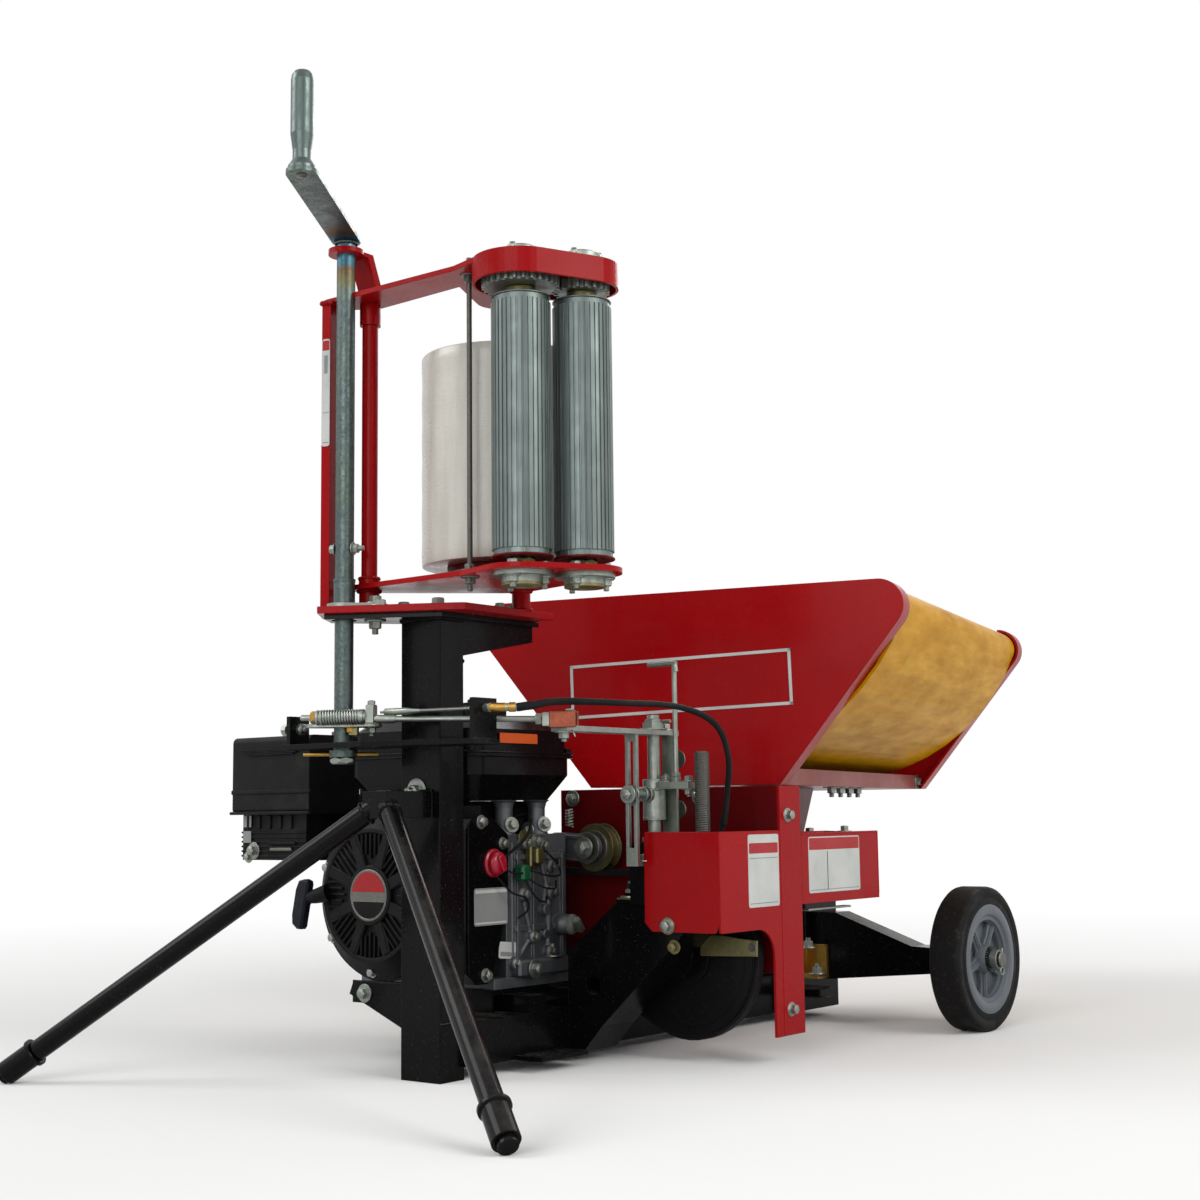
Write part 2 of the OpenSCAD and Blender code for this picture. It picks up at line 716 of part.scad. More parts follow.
module counter_stand() {
  color("#b3b7ae") {
    translate([shaft_x, shaft_y, shaft_z0]) cylinder(h = shaft_top - shaft_z0, d = shaft_dia);
    // trip bar along the machine, with its nuts
    translate([shaft_x - 12, 30, trip_z]) cube([24, 212, trip_t]);
    translate([shaft_x, shaft_y, trip_z + trip_t]) hex_nut(24, 9);
    // slotted bar
    difference() {
      translate([shaft_x - 8, slot_y, foot_bar_z]) cube([16, 5, trip_z - foot_bar_z]);
      translate([shaft_x - slot_w / 2, slot_y - cut, 256]) cube([slot_w, 7, 124]);
    }
    translate([shaft_x - 8, slot_y, foot_bar_z]) cube([12, shaft_y - 17 - slot_y, 5]);
    // angle behind the shaft
    translate([shaft_x + 1, shaft_y + 15, shaft_z0]) cube([21, 4, trip_z - shaft_z0]);
    translate([shaft_x + 1, shaft_y + 15, shaft_z0]) cube([4, 18, trip_z - shaft_z0]);
  }
}
slot_y = 161;
slot_w = 7.4;
foot_bar_z = 235;
arm_x = screw_x - screw_dia / 2 - 4;
l_rod_x = 197;

module counter_follower() {
  color("#b3b7ae") difference() {
    union() {
      translate([shaft_x, shaft_y, collar_z]) cylinder(h = collar_h, d = collar_dia);
      translate([shaft_x, shaft_y - 10, collar_z + 36]) cube([arm_x - shaft_x, 20, 8]);
      for (y = [0, 1]) translate([shaft_x, shaft_y - 10, collar_z + 30]) rotate([90, 0, 0])
        cylinder(h = [27, 43][y], d = [10, 6.8][y]);
      translate([shaft_x, slot_y - 4, collar_z + 30]) rotate([90, 0, 0]) hex_nut(11, 5);
      // rod that the table trips
      translate([l_rod_x, shaft_y, collar_z + 40]) cylinder(h = 144, d = 6);
      translate([l_rod_x + 3, shaft_y, collar_z + 184]) rotate([0, -90, 0]) cylinder(h = 41, d = 6);
      translate([l_rod_x, shaft_y, collar_z + 44]) hex_nut(11, 6);
    }
    translate([shaft_x, shaft_y, collar_z - cut]) cylinder(h = collar_h + 2 * cut, d = shaft_dia + 2 * fit);
  }
}

module counter_screw() {
  color("#4a4a47") translate([screw_x, shaft_y, shaft_z0 + gap])
    cylinder(h = screw_top - shaft_z0 - gap, d = screw_dia);
}

module belt_guard() {
  color("#8c0d13") translate([panel_left, panel_y, 106])
    cube([guard_x - guard_t - panel_left, guard_t, panel_top - 106]);
}

module counter_guard() {
  color("#b8161c") {
    // front face with its lower corners cut off
    translate([guard_left, guard_y + guard_t, 0]) rotate([90, 0, 0]) linear_extrude(guard_t) polygon([
      [0, guard_bottom + 10], [10, guard_bottom], [guard_x - guard_left - 8, guard_bottom],
      [guard_x - guard_left, guard_bottom + 10], [guard_x - guard_left, guard_top], [0, guard_top]]);
    translate([203, guard_y, 167]) rotate([-90, 0, 0]) cylinder(h = column_y0 - 30 - guard_y, d = 12);
    // right face with its arch and its leg
    translate([guard_x - guard_t, 0, 0]) rotate([90, 0, 90]) linear_extrude(guard_t) difference() {
      translate([guard_y + guard_t, foot_panel_z])
        square([panel_y + strip_w - guard_y - guard_t, guard_top - foot_panel_z]);
      translate([guard_y, foot_panel_z - cut]) square([panel_y - guard_y - 16 - arch_r, guard_bottom - foot_panel_z + cut]);
      translate([guard_y, foot_panel_z - cut]) square([panel_y - guard_y - 16, guard_bottom - arch_r - foot_panel_z + cut]);
      translate([panel_y - 16 - arch_r, guard_bottom - arch_r]) circle(arch_r);
    }
    translate([guard_x - guard_t, panel_y, guard_top]) cube([guard_t, strip_w, panel_top - guard_top]);
  }
}
arch_r = 34;

module side_guard() {
  color("#b8161c") {
    // shelf and closed casing
    translate([-30, panel_y + strip_w + 10, shelf_z]) cube([guard_x + 30, 115, shelf_t]);
    difference() {
      translate([guard_x - 80, panel_y + strip_w, shelf_z]) cube([80, 190, 80 + shelf_t]);
      translate([guard_x - 80 + guard_t, panel_y + strip_w + guard_t, shelf_z - cut])
        cube([80 - 2 * guard_t, 190 - 2 * guard_t, 80 + cut + shelf_t - guard_t]);
    }
  }
}

module bearing_bracket() {
  color("#b98a2e") translate([table_x + pedestal_w / 2, axle_y - 20 - 30, 62]) {
    cube([38, 30, 6]);
    cube([6, 30, 46]);
    translate([0, 24, 0]) cube([38, 6, 46]);
  }
}

// Engine
cyl_y = case_y0 + 75;
cyl_tilt = -65;
module engine_block() {
  color("#6f7276") {
    // crankcase with its foot
    translate([-crank_x - 90, case_y0 + 6, engine_z]) cube([crank_x + 90 - 2, case_y1 - case_y0 - 8, 12]);
    translate([0, 0, engine_z + 12]) linear_extrude(case_top - engine_z - 12) polygon([
      [-crank_x - 80, case_y0], [-60, case_y0], [-60, case_y0 + 36], [case_right, case_y0 + 36],
      [case_right, case_y1], [-crank_x - 80, case_y1]]);
    for (y = [52, 82, 112, 138]) translate([case_right - cut, case_y0 + y, engine_z + 14])
      cube([5, 6, case_top - engine_z - 34]);
    for (z = [engine_z + 66, case_top - 30]) translate([case_right - cut, case_y0 + 48, z]) cube([4, 98, 6]);
    translate([case_right - 2, case_y1 - 15, 160]) rotate([0, 90, 0]) cylinder(h = 12, d = 26);
    translate([case_right + 4, case_y1 - 15, 160]) rotate([0, 90, 20]) cylinder(h = 14, d = 22, $fn = 8);
    // side cover, shaft and the idler's boss
    translate([-crank_x, case_y1 - cut, crank_z]) rotate([-90, 0, 0]) cylinder(h = 7, d = 160);
    translate([-crank_x, case_y1, crank_z]) rotate([-90, 0, 0]) cylinder(h = belt_y - 3 - case_y1, d = 20);
    translate([idler_pivot[0], case_y1 - cut, idler_pivot[1]]) rotate([-90, 0, 0])
      cylinder(h = idler_y - gap - case_y1 + cut, d = 30);
    translate([idler_pivot[0], case_y1, idler_pivot[1]]) rotate([-90, 0, 0])
      cylinder(h = idler_y + idler_t + 5 - case_y1, d = 10);
    // finned cylinder and head
    translate([-crank_x, cyl_y, crank_z]) rotate([0, cyl_tilt, 0]) {
      translate([-34, -34, 50]) cube([68, 68, 160]);
      for (t = [98 : 12 : 182]) translate([-42, -42, t]) cube([84, 84, 4]);
      translate([-36, -38, 194]) cube([72, 76, 22]);
    }
    translate([-312, case_y0 + 23, 262]) cube([34, 22, 26]);
    translate([-312, cyl_y + 12, 296]) cube([24, 24, 38]);
    // legs below the fuel tank
    for (x = [-150, -24], y = [case_y0 + 50, case_y0 + 112]) translate([x, y, case_top - cut])
      cylinder(h = tank_z - case_top + cut, d = 22);
  }
}

module blower_housing() {
  color("#1d1e20") {
    translate([-crank_x, shroud_y, crank_z]) rotate([-90, 0, 0]) cylinder(h = case_y0 - shroud_y, r = blower_r);
    translate([0, shroud_y + 8, 0]) rotate([90, 0, 90]) translate([0, 0, -60]) linear_extrude(55) polygon([
      [0, 112], [18, 98], [case_y0 - shroud_y - 10, 98], [case_y0 - shroud_y + 4, 120], [case_y0 - shroud_y + 28, 190],
      [case_y0 - shroud_y + 28, case_top], [case_y0 - shroud_y, 292], [10, 292], [0, 280]]);
  }
}

module recoil_starter() {
  color("#202123") {
    translate([-crank_x, shroud_y, crank_z]) rotate([90, 0, 0]) difference() {
      union() {
        cylinder(h = shroud_y - engine_y - 2, r1 = 98, r2 = 80);
        cylinder(h = shroud_y - engine_y, r = 76);
      }
      for (k = [0 : 7], i = [-2 : 2]) rotate([0, 0, 45 * k]) translate([k % 2 == 0 ? 46 + 5 * abs(i) : 38 + 3 * abs(i),
        9.2 * i - 2.6, shroud_y - engine_y - 5]) cube([k % 2 == 0 ? 26 - 6 * abs(i) : 34 - 5 * abs(i), 5.2, 5 + cut]);
    }
    translate([-crank_x, engine_y + cut, crank_z]) rotate([90, 0, 0]) cylinder(h = 3, r1 = 36, r2 = 33);
    translate([-crank_x - 106, shroud_y - 24, crank_z - 20]) cube([24, 24, 16]);
    translate([-crank_x - 114, shroud_y - 38, crank_z - 42]) cube([18, 14, 60]);
  }
}

tank_z = 314;
seam_z = 366;
module tank_slice(inset, z, h) {
  translate([inset - 202, engine_y + 16 + inset, z]) rounded_box([218 - 2 * inset, 204 - 2 * inset, h], 24);
}
module fuel_tank() {
  color("#17181a") {
    hull() {
      tank_slice(22, tank_z, 1);
      tank_slice(4, tank_z + 30, seam_z - tank_z - 30);
    }
    tank_slice(0, seam_z, 5);
    hull() {
      tank_slice(6, seam_z + 5, 28);
      tank_slice(22, seam_z + 5, 42);
    }
    translate([-60, engine_y + 118, seam_z + 46]) cylinder(h = 22, d = 60);
  }
}

module air_cleaner() {
  color("#1c1d1f") {
    translate([-395, engine_y + 8, 0]) rotate([90, 0, 90]) linear_extrude(145) offset(8) offset(-8) polygon([
      [0, 300], [case_y0 - engine_y + 18, 300], [case_y0 - engine_y + 18, 332], [130, 332], [130, 400], [0, 400]]);
    translate([-385, engine_y + 18, 242]) cube([120, case_y0 - engine_y + 5, 59]);
  }
}

module muffler() {
  color("#5b5856") translate([-372, cyl_y - 1, 334]) rounded_box([134, 72, 70], 14);
}

module ignition_switch() {
  color("#c01a22") translate([-5, engine_y + 78, 239]) rotate([0, 90, 0]) {
    cylinder(h = 5, d = 30);
    translate([0, 0, 5]) cylinder(h = 8, d = 22);
  }
}

module flanged_pulley(x, z, r) {
  translate([x, belt_y, z]) rotate([-90, 0, 0]) {
    translate([0, 0, -3]) cylinder(h = 3 - gap, r = r + 4);
    translate([0, 0, -gap - cut]) cylinder(h = belt_w + 2 * (gap + cut), r = r);
    translate([0, 0, belt_w + gap]) cylinder(h = 3 - gap, r = r + 4);
  }
}
module drive_pulleys() {
  color("#232426") {
    flanged_pulley(-crank_x, crank_z, small_r - belt_h - gap);
    flanged_pulley(large_x, large_z, large_r - belt_h - gap);
    translate([large_x, column_y1, large_z]) rotate([-90, 0, 0]) cylinder(h = belt_y - column_y1, d = 44);
  }
}

module belt_shape(r1, r2) {
  hull() {
    translate([-crank_x, crank_z]) circle(r1);
    translate([large_x, large_z]) circle(r2);
  }
}
module drive_belt() {
  color("#141415") translate([0, belt_y + belt_w, 0]) rotate([90, 0, 0]) linear_extrude(belt_w) difference() {
    belt_shape(small_r, large_r);
    belt_shape(small_r - belt_h, large_r - belt_h);
  }
}

module idler_arm() {
  color("#85888b") {
    translate([0, idler_y + idler_t, 0]) rotate([90, 0, 0]) linear_extrude(idler_t) difference() {
      hull() {
        translate(idler_pivot) circle(17);
        translate([idler_x, idler_z]) circle(17);
      }
      translate(idler_pivot) circle(5 + fit);
    }
    translate([idler_x, idler_y - 7, idler_z]) rotate([-90, 0, 0]) hex_nut(16, 8);
    translate([idler_x, idler_y + idler_t - cut, idler_z]) rotate([-90, 0, 0])
      cylinder(h = belt_y - 3 - idler_y - idler_t + cut, d = 22);
  }
}

module idler_pulley() {
  color("#3b3b3d") flanged_pulley(idler_x, idler_z, idler_r);
}

// Table that turns the bale
module turntable_hub() {
  color("#9c3a33") at_table() difference() {
    union() {
      translate([0, 0, hub_z]) cylinder(h = hub_t, d = 100);
      translate([0, 0, hub_z + hub_t]) rotate([0, 0, 45])
        cylinder(h = table_bottom_z - hub_z - hub_t, d1 = 84, d2 = 122, $fn = 4);
    }
    translate([0, 0, hub_z - cut]) cylinder(h = kingpin_top - hub_z + gap + cut, d = kingpin_dia + 2 * fit);
  }
}

module cross_tray() {
  color("#b9b4b2") at_table() {
    translate([-table_bottom_len / 2 + 10, -table_hw + sheet, table_bottom_z])
      cube([table_bottom_len - 20, table_w - 2 * sheet, sheet]);
    for (s = [-1, 1]) translate([s * (table_bottom_len / 2 - 10) - (s > 0 ? sheet : 0), -table_hw + sheet, table_bottom_z])
      cube([sheet, table_w - 2 * sheet, 22]);
  }
}

module side_outline() {
  hull() {
    for (s = [-1, 1]) {
      translate([s * belt_roller_s, plate_h - corner_r]) circle(corner_r, $fn = 64);
      translate([s * (table_bottom_len / 2 - 4), 2]) square([8, 4], center = true);
    }
  }
}

module side_plates() {
  color("#b50f15") at_table() for (s = [0, 1]) mirror([0, s, 0])
    translate([0, -table_hw + sheet, table_bottom_z]) rotate([90, 0, 0]) {
      linear_extrude(sheet) side_outline();
      translate([0, 0, -flange_w]) linear_extrude(flange_w) difference() {
        side_outline();
        offset(-sheet) side_outline();
        translate([-belt_roller_s, plate_h - 2 * sheet]) square([2 * belt_roller_s, 3 * sheet]);
        translate([-table_bottom_len / 2, -cut]) square([table_bottom_len, 3 * sheet]);
      }
    }
}
flange_w = 27;

// The belt's outline in the table's own frame: two runs that hang in arcs between the rollers
function sag_r(low, sign, r) = let(dz = belt_roller_z - low)
  (belt_roller_s * belt_roller_s + dz * dz - r * r) / (2 * (dz + sign * r));
function arc(c, r, a0, a1, n) = [for (i = [0 : n]) let(a = a0 + (a1 - a0) * i / n) c + r * [cos(a), sin(a)]];
function belt_loop(in) = let(
  r = belt_roller_dia / 2 + belt_t,
  low_r = sag_r(belt_low_z, -1, r),
  low_c = [0, belt_low_z + low_r],
  top_low = belt_low_z + run_gap + belt_t,
  top_r = sag_r(top_low, 1, r),
  top_c = [0, top_low + top_r],
  low_a = atan2(belt_roller_z - low_c[1], belt_roller_s),
  top_a = atan2(belt_roller_z - top_c[1], belt_roller_s))
  concat(
    arc([belt_roller_s, belt_roller_z], r - in, low_a, 180 + top_a, 20),
    arc(top_c, top_r + in, top_a, -180 - top_a, 20),
    arc([-belt_roller_s, belt_roller_z], r - in, -top_a, 180 - low_a, 20),
    arc(low_c, low_r - in, 180 - low_a, 360 + low_a, 20));

module table_belt() {
  color("#e6a21c") at_table() translate([0, table_hw - belt_inset, 0]) rotate([90, 0, 0])
    linear_extrude(table_w - 2 * belt_inset) difference() {
      polygon(belt_loop(0));
      polygon(belt_loop(belt_t));
    }
}

module belt_rollers() {
  color("#8a8c8e") at_table() for (s = [-1, 1]) translate([s * belt_roller_s, 0, belt_roller_z]) rotate([90, 0, 0]) {
    cylinder(h = table_w - 2 * belt_inset, d = belt_roller_dia - 2 * gap, center = true);
    cylinder(h = table_w - 2 * sheet, d = 30, center = true);
  }
}

base_frame();
post();
stand_legs();
foot_left();
foot_right();
axle_beam();
tyre_left();
rim_left();
tyre_right();
rim_right();
platform();
carrier_column();
lower_arm();
upper_arm();
tie_rod();
bearings();
film_spindle();
film_roll();
roller_slow();
gear_slow();
roller_fast();
gear_fast();
control_shaft();
crank_grip();
lever_plate();
control_bracket();
control_rod();
control_cable();
counter_gearbox();
counter_stand();
counter_follower();
counter_screw();
belt_guard();
counter_guard();
side_guard();
bearing_bracket();
engine_block();
blower_housing();
recoil_starter();
fuel_tank();
air_cleaner();
muffler();
ignition_switch();
drive_pulleys();
drive_belt();
idler_arm();
idler_pulley();
turntable_hub();
cross_tray();
side_plates();
table_belt();
belt_rollers();
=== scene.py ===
"""Looks of the small bale wrapper: materials, fasteners, engine details, light and camera.

Pieces are built in millimetres in the frame that the CAD uses (+X right, +Y rear, +Z up), and each
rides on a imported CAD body.
"""

from math import cos, pi, radians, sin, sqrt

import bmesh
import bpy
from mathutils import Matrix, Vector


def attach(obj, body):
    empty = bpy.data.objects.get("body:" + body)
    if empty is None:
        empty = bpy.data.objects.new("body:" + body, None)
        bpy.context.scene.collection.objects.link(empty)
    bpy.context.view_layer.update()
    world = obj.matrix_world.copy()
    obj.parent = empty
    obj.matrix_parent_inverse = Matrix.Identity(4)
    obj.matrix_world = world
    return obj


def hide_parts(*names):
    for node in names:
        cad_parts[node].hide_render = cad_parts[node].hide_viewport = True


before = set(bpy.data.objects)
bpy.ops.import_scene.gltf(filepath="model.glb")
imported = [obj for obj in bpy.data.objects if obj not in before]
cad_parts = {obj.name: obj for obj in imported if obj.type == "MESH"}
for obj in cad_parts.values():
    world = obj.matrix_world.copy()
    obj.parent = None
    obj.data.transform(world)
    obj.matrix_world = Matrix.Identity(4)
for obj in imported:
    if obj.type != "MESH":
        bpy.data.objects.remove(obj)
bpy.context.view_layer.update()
MM = 0.001

# The photo's camera: place and lens in mm, angles in degrees
CAMERA, LENS = (1401.5, -1485.9, 296.9), 52.665
AZIMUTH, PITCH, ROLL = 37.83, 6.92, -0.69
# The floor's half side, and where it starts and ends to fade to white, in m
FLOOR_HALF, FADE_START, FADE_END = 30, 1, 3.4


# Camera, light and floor
def add(name, data):
    """A new object in the scene."""
    o = bpy.data.objects.new(name, data)
    bpy.context.scene.collection.objects.link(o)
    return o


def look_from(place, azimuth, pitch, roll, lens):
    """Camera at place (mm) that looks along azimuth from +Y towards +X, tilted up by pitch."""
    a, p, r = radians(azimuth), radians(pitch), radians(roll)
    f = Vector((-sin(a) * cos(p), cos(a) * cos(p), sin(p)))
    right = Vector((cos(a), sin(a), 0))
    up = right.cross(f)
    x = cos(r) * right + sin(r) * up
    y = cos(r) * up - sin(r) * right
    cam = add("camera", bpy.data.cameras.new("camera"))
    cam.matrix_world = Matrix.Translation(Vector(place) * MM) @ Matrix((x, y, -f)).transposed().to_4x4()
    cam.data.lens, cam.data.sensor_width = lens, 36
    cam.data.clip_start, cam.data.clip_end = 0.05, 60
    bpy.context.scene.camera = cam


def area_light(name, place, aim, size, watts, tint=(1, 1, 1)):
    lamp = bpy.data.lights.new(name, "AREA")
    lamp.shape, lamp.size, lamp.size_y = "RECTANGLE", size[0], size[1]
    lamp.energy, lamp.color = watts, tint
    o = add(name, lamp)
    o.location = place
    o.rotation_euler = (Vector(aim) - Vector(place)).to_track_quat("-Z", "Y").to_euler()


def empty_tree(owner):
    """The node tree of a world or a material, with no nodes in it."""
    owner.use_nodes = True
    owner.node_tree.nodes.clear()
    return owner.node_tree


def new_node(tree, kind, values=(), **settings):
    """A node with its settings, and its inputs set by name or linked."""
    n = tree.nodes.new("ShaderNode" + kind)
    for k, v in settings.items():
        setattr(n, k, v)
    for k, v in dict(values).items():
        if isinstance(v, bpy.types.NodeSocket):
            tree.links.new(v, n.inputs[k])
        else:
            n.inputs[k].default_value = v
    return n


def seen_directly(tree):
    """1 for camera, glossy and transmission rays, 0 for the rest."""
    path = new_node(tree, "LightPath")
    a = new_node(tree, "Math", {0: path.outputs["Is Camera Ray"], 1: path.outputs["Is Glossy Ray"]},
        operation="MAXIMUM")
    return new_node(tree, "Math", {0: a.outputs[0], 1: path.outputs["Is Transmission Ray"]},
        operation="MAXIMUM").outputs[0]


def studio():
    world = bpy.data.worlds.new("studio")
    bpy.context.scene.world = world
    t = empty_tree(world)
    soft = new_node(t, "Background", {"Color": (0.95, 0.97, 1, 1), "Strength": 0.5})
    white = new_node(t, "Background", {"Color": (1, 1, 1, 1), "Strength": 1})
    both = new_node(t, "MixShader", {0: seen_directly(t), 1: soft.outputs[0], 2: white.outputs[0]})
    t.links.new(both.outputs[0], new_node(t, "OutputWorld").inputs[0])
    area_light("key", (-2.6, -2.4, 3.4), (0.1, 0.3, 0.4), (2.4, 2.4), 95, (1, 0.985, 0.96))
    area_light("side", (3.4, 0.2, 2.3), (0.1, 0.4, 0.4), (2.2, 1.6), 62, (1, 0.98, 0.95))
    area_light("front", (1.2, -3.4, 1.6), (0, 0.2, 0.4), (2.6, 1.6), 34)
    area_light("rear", (-0.6, 3.4, 2.6), (0, 0.4, 0.4), (2.4, 1.4), 45)

    bm = bmesh.new()
    bmesh.ops.create_grid(bm, x_segments=2, y_segments=2, size=FLOOR_HALF)
    mesh = bpy.data.meshes.new("floor")
    bm.to_mesh(mesh)
    floor = add("floor", mesh)
    m = bpy.data.materials.new("floor")
    t = empty_tree(m)
    pale = new_node(t, "BsdfDiffuse", {"Color": (0.8, 0.8, 0.79, 1), "Roughness": 0.6})
    glow = new_node(t, "Emission", {"Color": (1, 1, 1, 1), "Strength": 1})
    place = new_node(t, "TexCoord").outputs["Object"]
    far = new_node(t, "VectorMath", {0: place, 1: (0, 0.3, 0)}, operation="DISTANCE").outputs["Value"]
    fade = new_node(t, "MapRange", {0: far, 1: FADE_START, 2: FADE_END},
        interpolation_type="SMOOTHSTEP").outputs[0]
    share = new_node(t, "Math", {0: fade, 1: seen_directly(t)}, operation="MULTIPLY").outputs[0]
    both = new_node(t, "MixShader", {0: share, 1: pale.outputs[0], 2: glow.outputs[0]})
    t.links.new(both.outputs[0], new_node(t, "OutputMaterial").inputs[0])
    mesh.materials.append(m)


bpy.context.scene.view_settings.view_transform = "Standard"
look_from(CAMERA, AZIMUTH, PITCH, ROLL, LENS)
studio()


# Materials
def rgb(text):
    """A hex colour as the linear numbers that the shader takes."""
    v = [int(text[i:i + 2], 16) / 255 for i in (1, 3, 5)]
    return tuple(c / 12.92 if c <= 0.04045 else ((c + 0.055) / 1.055) ** 2.4 for c in v) + (1,)


class Shade:
    """One procedural material: a Principled shader and the textures that vary it."""

    def __init__(self, name, **sockets):
        self.mat = bpy.data.materials.new(name)
        self.t = empty_tree(self.mat)
        self.bsdf = new_node(self.t, "BsdfPrincipled")
        self.t.links.new(self.bsdf.outputs[0], new_node(self.t, "OutputMaterial").inputs[0])
        self.place = new_node(self.t, "TexCoord").outputs["Object"]
        self.normal = None
        for k, v in sockets.items():
            self.bsdf.inputs[k.replace("_", " ")].default_value = v

    def node(self, kind, values=(), **settings):
        return new_node(self.t, kind, values, **settings)

    def math(self, op, a, b):
        return self.node("Math", {0: a, 1: b}, operation=op).outputs[0]

    def times(self, a, b):
        return self.math("MULTIPLY", a, b)

    def stretch(self, factors):
        return self.node("Mapping", {0: self.place, "Scale": factors}).outputs[0]

    def noise(self, scale, detail=3, rough=0.55, at=None):
        values = {"Vector": at or self.place, "Scale": scale, "Detail": detail, "Roughness": rough}
        return self.node("TexNoise", values).outputs["Fac"]

    def spangle(self, scale, at=None):
        """One grey per grain, from 0 to 1."""
        grains = self.node("TexVoronoi", {"Vector": at or self.place, "Scale": scale}).outputs["Color"]
        return self.node("RGBToBW", {0: grains}).outputs[0]

    def between(self, value, lo, hi, to_lo=0, to_hi=1):
        return self.node("MapRange", {0: value, 1: lo, 2: hi, 3: to_lo, 4: to_hi}).outputs[0]

    def mix(self, share, a, b):
        n = self.node("Mix", data_type="RGBA", clamp_factor=True)
        for i, v in ((0, share), (6, a), (7, b)):
            if isinstance(v, bpy.types.NodeSocket):
                self.t.links.new(v, n.inputs[i])
            else:
                n.inputs[i].default_value = v
        return n.outputs[2]

    def cloud(self, scale, detail, lo, hi, share=1, rough=0.55):
        """A mask from noise: 0 where it is below lo and share where it is above hi."""
        return self.between(self.noise(scale, detail, rough), lo, hi, 0, share)

    def uneven(self, scale, lo, hi, detail=4, rough=0.55):
        """A value that changes slowly between lo and hi."""
        return self.between(self.noise(scale, detail, rough), 0.3, 0.7, lo, hi)

    def over(self, tone, share, color):
        return self.mix(share, tone, rgb(color))

    def up(self):
        """How far a surface looks up, from 0 to 1."""
        n = self.node("NewGeometry").outputs["Normal"]
        return self.node("SeparateXYZ", {0: n}).outputs[2]

    def soften(self, radius):
        """Shades the sharp edges as if they were rounded."""
        self.normal = self.node("Bevel", {"Radius": radius}, samples=4).outputs[0]

    def edge(self, radius):
        """Softens the sharp edges and gives a mask of them."""
        self.soften(radius)
        true = self.node("NewGeometry").outputs["Normal"]
        same = self.node("VectorMath", {0: self.normal, 1: true}, operation="DOT_PRODUCT").outputs["Value"]
        return self.between(same, 0.97, 0.75)

    def bump(self, height, strength, depth):
        values = {"Height": height, "Strength": strength, "Distance": depth}
        if self.normal is not None:
            values["Normal"] = self.normal
        self.normal = self.node("Bump", values).outputs[0]

    def finish(self, color, rough):
        for k, v in (("Base Color", color), ("Roughness", rough), ("Normal", self.normal)):
            self.t.links.new(v, self.bsdf.inputs[k])
        return self.mat


def paint(name, base, deep, dust="#b7aea0", dusty=0.3, rough=(0.2, 0.42), bare="#8a8784", worn=0.5,
          gloss=0.05, ior=0.08):
    """Sprayed paint: a slow change of tone, orange peel, dust on flat tops (on the pale red mostly painted
    glare) and thin edges.
    """
    s = Shade(name, Coat_Weight=gloss, Coat_Roughness=0.08, Specular_IOR_Level=ior)
    edge = s.edge(0.0012)
    tone = s.mix(s.noise(7, 3), rgb(base), rgb(deep))
    # Dust on upward faces; on the pale red its heavy share is mostly a painted reflection of the sky
    tops_dust_and_glare = s.times(s.between(s.up(), 0.55, 0.95), s.cloud(26, 6, 0.42, 0.8, rough=0.65))
    tone = s.over(tone, s.times(tops_dust_and_glare, dusty), dust)
    specks = s.cloud(420, 2, 0.66, 0.74)
    tone = s.over(tone, s.times(specks, 0.22 * dusty / 0.35), dust)
    chips = s.times(edge, s.cloud(90, 4, 0.56, 0.66, rough=0.7))
    tone = s.over(tone, s.times(chips, worn), bare)
    s.bump(s.noise(520, 1), 0.1, 0.0004)
    s.bump(s.noise(34, 2), 0.1, 0.0015)
    r = s.between(s.noise(15, 5, 0.6), 0.3, 0.72, *rough)
    return s.finish(tone, s.math("MAXIMUM", r, s.times(tops_dust_and_glare, 0.6)))


def plated(name, base, deep, tint, rough=(0.24, 0.5), metal=0.9, grain=170, streak=(1, 1, 1), stain=0.3,
        spangle=0.5):
    """Zinc or bare steel: spangled grains, a stained tint, fine scratches and painted highlights on the
    edges.
    """
    s = Shade(name, Metallic=metal)
    edge = s.edge(0.0007)
    at = s.stretch(streak)
    cell = s.spangle(grain, at)
    tone = s.mix(s.times(cell, spangle), rgb(base), rgb(deep))
    tone = s.over(tone, s.times(s.cloud(11, 4, 0.4, 0.75, rough=0.6), stain), tint)
    # Every edge lightened evenly: a painted edge highlight
    tone = s.mix(s.times(edge, 0.25), tone, (0.8, 0.8, 0.8, 1))
    s.bump(s.noise(900, 3, 0.6, at), 0.18, 0.0003)
    r = s.math("ADD", s.uneven(45, *rough, 5, 0.65), s.times(cell, 0.1))
    return s.finish(tone, r)


def moulded(name, base, deep, rough=(0.45, 0.68), grain=1300, relief=0.22, dusty=0.12, ior=0.13):
    """Plastic or rubber with a fine moulded grain and some dust."""
    s = Shade(name, Specular_IOR_Level=ior)
    s.soften(0.0009)
    tone = s.mix(s.noise(9, 4), rgb(base), rgb(deep))
    dust = s.times(s.cloud(38, 6, 0.5, 0.85, rough=0.7), s.between(s.up(), -0.3, 0.9, 0.25, 1))
    tone = s.over(tone, s.times(dust, dusty), "#8f897d")
    s.bump(s.noise(grain, 2), relief, 0.0003)
    return s.finish(tone, s.uneven(22, *rough))


def cast(name, base, deep):
    """Cast metal: a sand texture, darker in the pits, with painted highlights on the edges."""
    s = Shade(name, Metallic=0.75)
    edge = s.edge(0.0016)
    sand = s.noise(620, 4, 0.7)
    tone = s.mix(s.noise(12, 5, 0.6), rgb(base), rgb(deep))
    tone = s.over(tone, s.between(sand, 0.5, 0.3, 0, 0.45), "#2b2b2c")
    # Every edge lightened evenly: a painted edge highlight
    tone = s.over(tone, s.times(edge, 0.3), "#c4c6c8")
    s.bump(sand, 0.35, 0.0006)
    return s.finish(tone, s.uneven(60, 0.42, 0.62))


CRANK_WELD = -0.075, -0.069, 0.972


